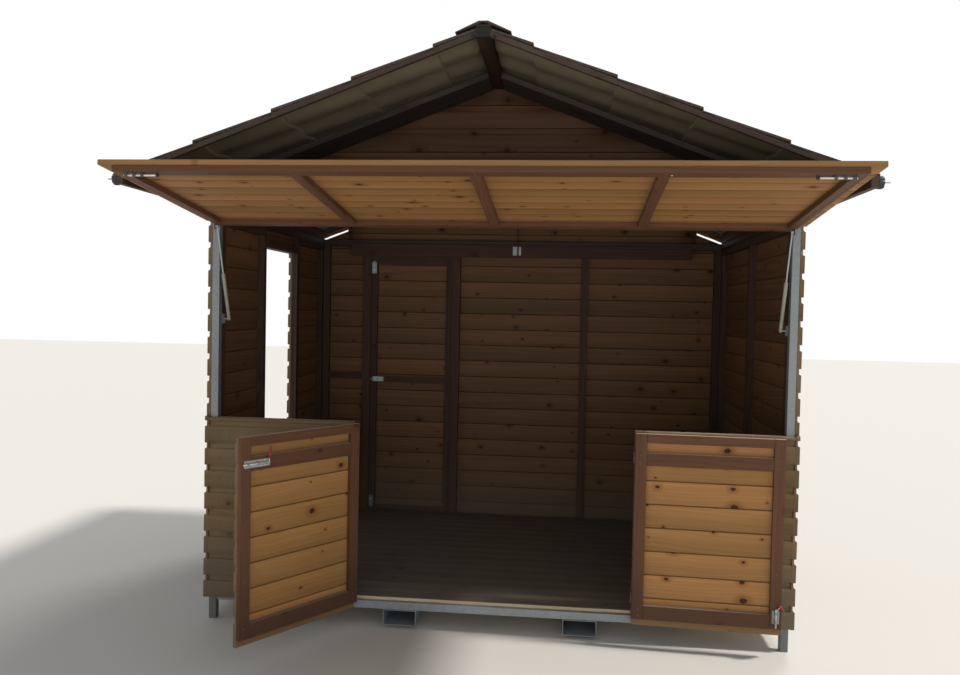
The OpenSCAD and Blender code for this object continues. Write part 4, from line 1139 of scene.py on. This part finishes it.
class STALL_OT_fittings(bpy.types.Operator):
    """Sort out the hinges and brackets, and make the bolts, the clamp knobs and the screws"""

    bl_idname = "stall.fittings"
    bl_label = "Fittings"

    def execute(self, context):
        hinged = {"left_leaf_fittings": "left_leaf_hinge", "right_leaf_fittings": "right_leaf_hinge",
                  "hatch_fittings": "hatch_hinge", "back_door_fittings": "back_door_hinge"}

        def kind_of(node):
            def kind(middle, island):
                if node in ("fixed_fittings", "hatch_fittings") and abs(middle.x) > 1.4:
                    return "knobs" if abs(middle.x) > 1.53 else "brackets"
                if node == "fixed_fittings" or near_axis(JOINTS[hinged[node]], island):
                    return "hinges"
                return "bolts"
            return kind

        for node in ("fixed_fittings", *hinged):
            sorted_out(node, kind_of(node), {"hinges": "dark_steel", "brackets": "zinc_bolt"})
        self.bolts(context)
        self.knobs(context)
        self.screws(context)
        self.ridge_and_tie(context)
        return {"FINISHED"}

    def bolts(self, context):
        """The tower bolts on the leaves, the hatch and the back door."""
        s = context.scene.stall_sizes
        face = s.board_back + s.batten_t
        # Heights of a lever off the face: in the shoot, and at its grip
        low, high = s.bolt_lift, 0.0135
        left = leaf_matrix("left") @ shift(0.558, face, 0.9545) @ turn("X", -90)
        tower_bolt("left_leaf_bolt", "left_leaf_fittings", left, (0.002, 0.142), (0.004, 0.15),
                   lever=[(0.014, 0, low), (0.014, -0.002, 0.0125), (0.0135, -0.012, high),
                          (0.01, -0.03, high)],
                   sleeve=((0.0125, -0.015, high), (0.004, -0.074, high)))
        right = leaf_matrix("right") @ MIRROR @ shift(0.6885, face, 0.263) @ turn("Z", 90) @ turn("Y", 90)
        tower_bolt("right_leaf_bolt", "right_leaf_fittings", right @ Matrix.Scale(-1, 4, (0, 1, 0)),
                   (0.016, 0.08), (0.006, 0.1),
                   lever=[(0.011, 0, low), (0.009, 0.004, 0.0125), (0.0, 0.012, high), (-0.006, 0.017, high)],
                   sleeve=((-0.014, 0.013, high), (0.011, 0.036, high)))
        for name, side, about in (("left", -1, 180), ("right", 1, 0)):
            place = hatch_matrix() @ shift(side * 1.271, face, -1.0085) @ turn("X", -90) @ turn("Z", about)
            tower_bolt(f"hatch_{name}_bolt", "hatch_fittings", place, (0.058, 0.143), (0.0, 0.145),
                       ends="black_plastic", finish="dark_steel")
        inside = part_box("back_door_frame")[0].y
        stile, ledge = -1.0775, -0.992
        for name, place in (
                ("top", shift(stile, inside, 1.932) @ turn("Z", 90) @ turn("Y", -90)),
                ("foot", shift(stile, inside, 0.263) @ turn("Z", -90) @ turn("Y", 90)),
                ("middle", shift(ledge, inside, 1.1425) @ turn("X", 90) @ turn("Z", 180))):
            tower_bolt(f"back_door_{name}_bolt", "back_door_fittings", place, (0.004, 0.088), (0.0, 0.1))

    def knobs(self, context):
        """The clamp knobs on threaded studs at the front ends of the eaves rails."""
        radius = context.scene.stall_sizes.knob_radius
        rail_x, rail_y, rail_z = 1.562, -1.295936, 2.203865
        lobes, lobe_depth, sides = 7, 0.0032, 84
        # (share of the full radius, height) of each ring of a knob
        profile = ((0.5, 0.0), (0.9, 0.0002), (0.97, 0.002), (1.0, 0.006), (1.0, 0.018), (0.97, 0.0225),
                   (0.88, 0.0248), (0.45, 0.025))
        thread_start, thread_step, threads = 0.024, 0.0007, 41
        grips, studs = bmesh.new(), bmesh.new()
        for side in (-1, 1):
            place = shift(side * rail_x, rail_y, rail_z) @ turn("Y", side * 90)
            tube(studs, [(0, 0, thread_start + thread_step * k) for k in range(threads)],
                 [0.003 - 0.0004 * (k % 2) for k in range(threads)], 12, place)
            stud(studs, 0, 0, (0.0245, 0.0262), (0.009, 0.009), 20, place)
            stud(studs, 0, 0, (0.026, 0.0305, 0.031), (0.0062, 0.0062, 0.005), 6, place)
            turns = [2 * math.pi * n / sides for n in range(sides)]
            reach = [radius - lobe_depth * (0.5 + 0.5 * math.cos(lobes * a)) ** 3 for a in turns]
            rim = [(r * math.cos(a), r * math.sin(a)) for a, r in zip(turns, reach)]
            loft(grips, [[grips.verts.new(place @ Vector((share * x, share * y, z))) for x, y in rim]
                         for share, z in profile])
        add_solid("clamp_knobs", grips, "black_plastic", "fixed_fittings")
        add_solid("clamp_studs", studs, "zinc_bolt", "fixed_fittings")

    def screws(self, context):
        """Screw heads where frames are joined, nails in the wall boards and bolts on the roof edge."""
        s = context.scene.stall_sizes
        face = s.board_back + s.batten_t
        for side in ("left", "right"):
            place = leaf_matrix(side) @ (MIRROR if side == "right" else Matrix())
            spots = [(place @ Vector((x + 0.004 * math.sin(37 * (x + z)), face, z)), outward(place))
                     for x in (0.0305, s.leaf_width - 0.0275)
                     for z in (0.175, 0.205, 0.935, 0.972, 1.058, 0.42, 0.68)]
            heads(side + "_leaf_screws", side + "_leaf_frame", spots, 0.0036, 0.0014, "dull_screws")
        place = hatch_matrix()
        out = outward(place)
        spots = [(place @ Vector((x, face, z)), out)
                 for x in (-1.43, -0.72, 0.0, 0.72, 1.43) for z in (-1.02, -0.99, -0.062, -0.03)]
        heads("hatch_screws", "hatch_frame", spots, 0.0042, 0.0014, "dull_screws")
        spots = [(place @ Vector((0.745, face, -1.003)), out)]
        heads("hatch_bright_screw", "hatch_frame", spots, 0.0046, 0.002, "bright_steel")

        # Nails start just inside the boards' faces, which lie half a millimetre inside the wall's box
        sunk = 0.0006
        rows = [s.datum + s.nail_rise + s.cover * n for n in range(17)]
        lo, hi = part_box("right_wall")
        x, middle = hi.x - sunk, (lo.y + hi.y) / 2
        spots = [(Vector((side * x, y + 0.003 * math.sin(50 * z), z)), (side, 0, 0))
                 for y in (lo.y + s.nail_inset, middle, hi.y - s.nail_inset) for z in rows for side in (-1, 1)
                 if side > 0 or y != middle]
        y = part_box("back_wall_left")[1].y - sunk
        spots += [(Vector((x + 0.003 * math.sin(50 * z), y, z)), (0, 1, 0))
                  for x in (-1.44, -1.132, -0.447, 0.447, 1.44) for z in rows]
        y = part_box("front_left_wall")[0].y + sunk
        spots += [(Vector((x, y, z)), (0, -1, 0)) for x in (-1.44, -0.745, 0.745, 1.44) for z in rows[:8]]
        heads("board_nails", "right_wall", spots, 0.0036, 0.0008, "dark_steel")
        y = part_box("roof_edge_boards")[0].y
        heads("ridge_bolt_heads", "roof_edge_boards",
              [(Vector((x, y, z)), (0, -1, 0)) for x, z in ((-0.0409, 2.7879), (0.0482, 2.7847))],
              0.009, 0.0035, "ridge_box")

    def ridge_and_tie(self, context):
        """The slotted box on the ridge beam's front end, and the bracket on the back tie rail."""
        lo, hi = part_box("ridge_beam")
        front = upright(lo.y)
        bm = bmesh.new()
        prism(bm, rounded(-0.028, hi.z - 0.05, 0.028, hi.z - 0.003, 0.003), -0.0005, 0.0012, front, 0.0004)
        for low, high in ((0.05, 0.043), (0.031, 0.024), (0.0095, 0.003)):
            prism(bm, rounded(-0.027, hi.z - low, 0.027, hi.z - high, 0.0015), 0.0008, 0.0032, front, 0.0006)
        add_solid("ridge_end_box", bm, "ridge_box", "fixed_fittings", replaces=False)
        rail_front = upright(1.41256)
        bm = bmesh.new()
        prism(bm, rounded(-0.037, 2.081, 0.023, 2.144, 0.003), 0.0, 0.002, rail_front, 0.0005)
        for x in (-0.028, 0.014):
            for z in (2.09, 2.135):
                stud(bm, x, z, (0.0015, 0.003, 0.0036), (0.004, 0.0038, 0.002), 12, rail_front)
        add_solid("tie_rail_bracket", bm, "zinc_bolt", "back_tie_rail", replaces=False)


class STALL_OT_roof(bpy.types.Operator):
    """Lay the tile sheets and the ridge cap"""

    bl_idname = "stall.roof"
    bl_label = "Roof"

    def execute(self, context):
        s = context.scene.stall_sizes
        lo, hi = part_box("right_roof")
        slope = math.tan(s.roof_pitch)
        rows = math.ceil((hi.x - 0.02) / s.tile_run)
        first = hi.x - (rows - 1) * s.tile_run
        lift = s.tile_step * (1 - (first - s.sheet_start) / s.tile_run)
        apex = hi.z - s.sheet_t - s.tile_wave_h - lift + slope * s.sheet_start
        depth = hi.y - lo.y
        mesh = grow(SHARED["tiles"], {
            "Depth": depth, "Run": s.tile_run, "First run": first, "Rows": rows, "Fall": slope,
            "Step": s.tile_step, "Waves": depth / s.tile_wave, "Wave height": s.tile_wave_h,
            "Thickness": s.sheet_t, "Material": MATERIALS["roof_tiles"]})
        for node, side in (("right_roof", Matrix()), ("left_roof", MIRROR)):
            bm = bmesh.new()
            bm.from_mesh(mesh)
            cut(bm, (s.sheet_start, 0, 0), (-1, 0, 0))
            bm.transform(shift(0, lo.y, apex) @ side)
            if side is MIRROR:
                bmesh.ops.reverse_faces(bm, faces=bm.faces)
            add_solid(node + "_tiles", bm, "roof_tiles", node)
        bpy.data.meshes.remove(mesh)
        eased("ridge_cap", "roof_tiles", 0.0012)
        return {"FINISHED"}


class STALL_OT_stage(bpy.types.Operator):
    """Set the floor, the light and the camera"""

    bl_idname = "stall.stage"
    bl_label = "Stage"

    def execute(self, context):
        stage = context.scene.stall_stage
        scene = context.scene
        scene.view_settings.view_transform = "Standard"
        mesh = bpy.data.meshes.new("stage_floor")
        r = stage.floor_reach
        mesh.from_pydata([(-r, -r, 0), (r, -r, 0), (r, r, 0), (-r, r, 0)], [], [(0, 1, 2, 3)])
        floor = bpy.data.objects.new("stage_floor", mesh)
        scene.collection.objects.link(floor)
        t, surface = new_material("stage_floor")
        t.feed(surface, {"Base Color": stage.floor, "Roughness": 0.9})
        mesh.materials.append(MATERIALS["stage_floor"])
        self.light(scene, stage)

        camera = bpy.data.cameras.new("camera")
        camera.sensor_fit = "HORIZONTAL"
        camera.sensor_width = 36.0
        camera.lens = stage.lens
        eye = bpy.data.objects.new("camera", camera)
        scene.collection.objects.link(eye)
        level = Matrix.Rotation(stage.yaw, 4, "Z") @ Matrix.Rotation(math.pi / 2 + stage.pitch, 4, "X")
        eye.matrix_world = shift(*stage.eye) @ level @ Matrix.Rotation(stage.roll, 4, "Z")
        scene.camera = eye
        return {"FINISHED"}

    def light(self, scene, stage):
        """A sky that looks white and gives soft light, and three lamps."""
        world = bpy.data.worlds.new("stage")
        scene.world = world
        world.use_nodes = True
        t = Nodes(world.node_tree)
        dim = t.tree.nodes["Background"]
        t.feed(dim, {"Color": (0.93, 0.97, 1.0), "Strength": stage.sky})
        white = t.put("ShaderNodeBackground", {"Color": (1, 1, 1), "Strength": 1.0})
        rays = t.put("ShaderNodeLightPath")
        seen = t.calc("MAXIMUM", rays["Is Camera Ray"],
                      t.calc("MAXIMUM", rays["Is Glossy Ray"], rays["Is Transmission Ray"]))
        both = t.put("ShaderNodeMixShader", {0: seen, 1: Wire(t, dim.outputs[0]), 2: white})
        t.feed(t.tree.nodes["World Output"], {"Surface": both})
        for name, kind, power, place, aim, tint in (
                ("high_lamp", "SUN", stage.lamp, (0, 0, 5), (-0.62, 0.05, -0.78), (1.0, 0.95, 0.88)),
                ("back_lamp", "SUN", stage.back_lamp, (0, 0, 6), (-0.3, -0.62, -0.72), (1.0, 0.97, 0.93)),
                ("front_lamp", "AREA", stage.fill, (1.0, -7.0, 1.5), (-0.06, 1, -0.03), (1.0, 0.97, 0.93))):
            lamp = bpy.data.lights.new(name, kind)
            lamp.energy = power
            lamp.color = tint
            if kind == "SUN":
                lamp.angle = math.radians(7 if name == "high_lamp" else 14)
            else:
                lamp.shape = "RECTANGLE"
                lamp.size, lamp.size_y = 7.0, 1.8
            holder = bpy.data.objects.new(name, lamp)
            holder.location = place
            holder.rotation_mode = "QUATERNION"
            holder.rotation_quaternion = Vector(aim).to_track_quat("-Z", "Y")
            scene.collection.objects.link(holder)


class STALL_PT_panel(bpy.types.Panel):
    """Lists the steps that dress the stall"""

    bl_label = "Wooden market stall"
    bl_idname = "STALL_PT_panel"
    bl_space_type = "VIEW_3D"
    bl_region_type = "UI"
    bl_category = "Stall"

    def draw(self, context):
        for step in STEPS:
            self.layout.operator(step.bl_idname)
        for name in SETTINGS:
            settings = getattr(context.scene, name)
            box = self.layout.box()
            for key in settings.__annotations__:
                box.prop(settings, key)


STEPS = (STALL_OT_finishes, STALL_OT_walls, STALL_OT_floor, STALL_OT_leaves, STALL_OT_timbers, STALL_OT_steel,
         STALL_OT_fittings, STALL_OT_roof, STALL_OT_stage)
SETTINGS = {"stall_sizes": StallSizes, "stall_colours": StallColours, "stall_stage": StallStage}
CLASSES = (*SETTINGS.values(), *STEPS, STALL_PT_panel)


def register():
    for cls in CLASSES:
        bpy.utils.register_class(cls)
    for name, cls in SETTINGS.items():
        setattr(bpy.types.Scene, name, bpy.props.PointerProperty(type=cls))


def unregister():
    for name in SETTINGS:
        delattr(bpy.types.Scene, name)
    for cls in reversed(CLASSES):
        bpy.utils.unregister_class(cls)


def main():
    register()
    bpy.ops.stall.finishes()
    bpy.ops.stall.walls()
    bpy.ops.stall.floor()
    bpy.ops.stall.leaves()
    bpy.ops.stall.timbers()
    bpy.ops.stall.steel()
    bpy.ops.stall.fittings()
    bpy.ops.stall.roof()
    bpy.ops.stall.stage()


if __name__ == "__main__":
    main()
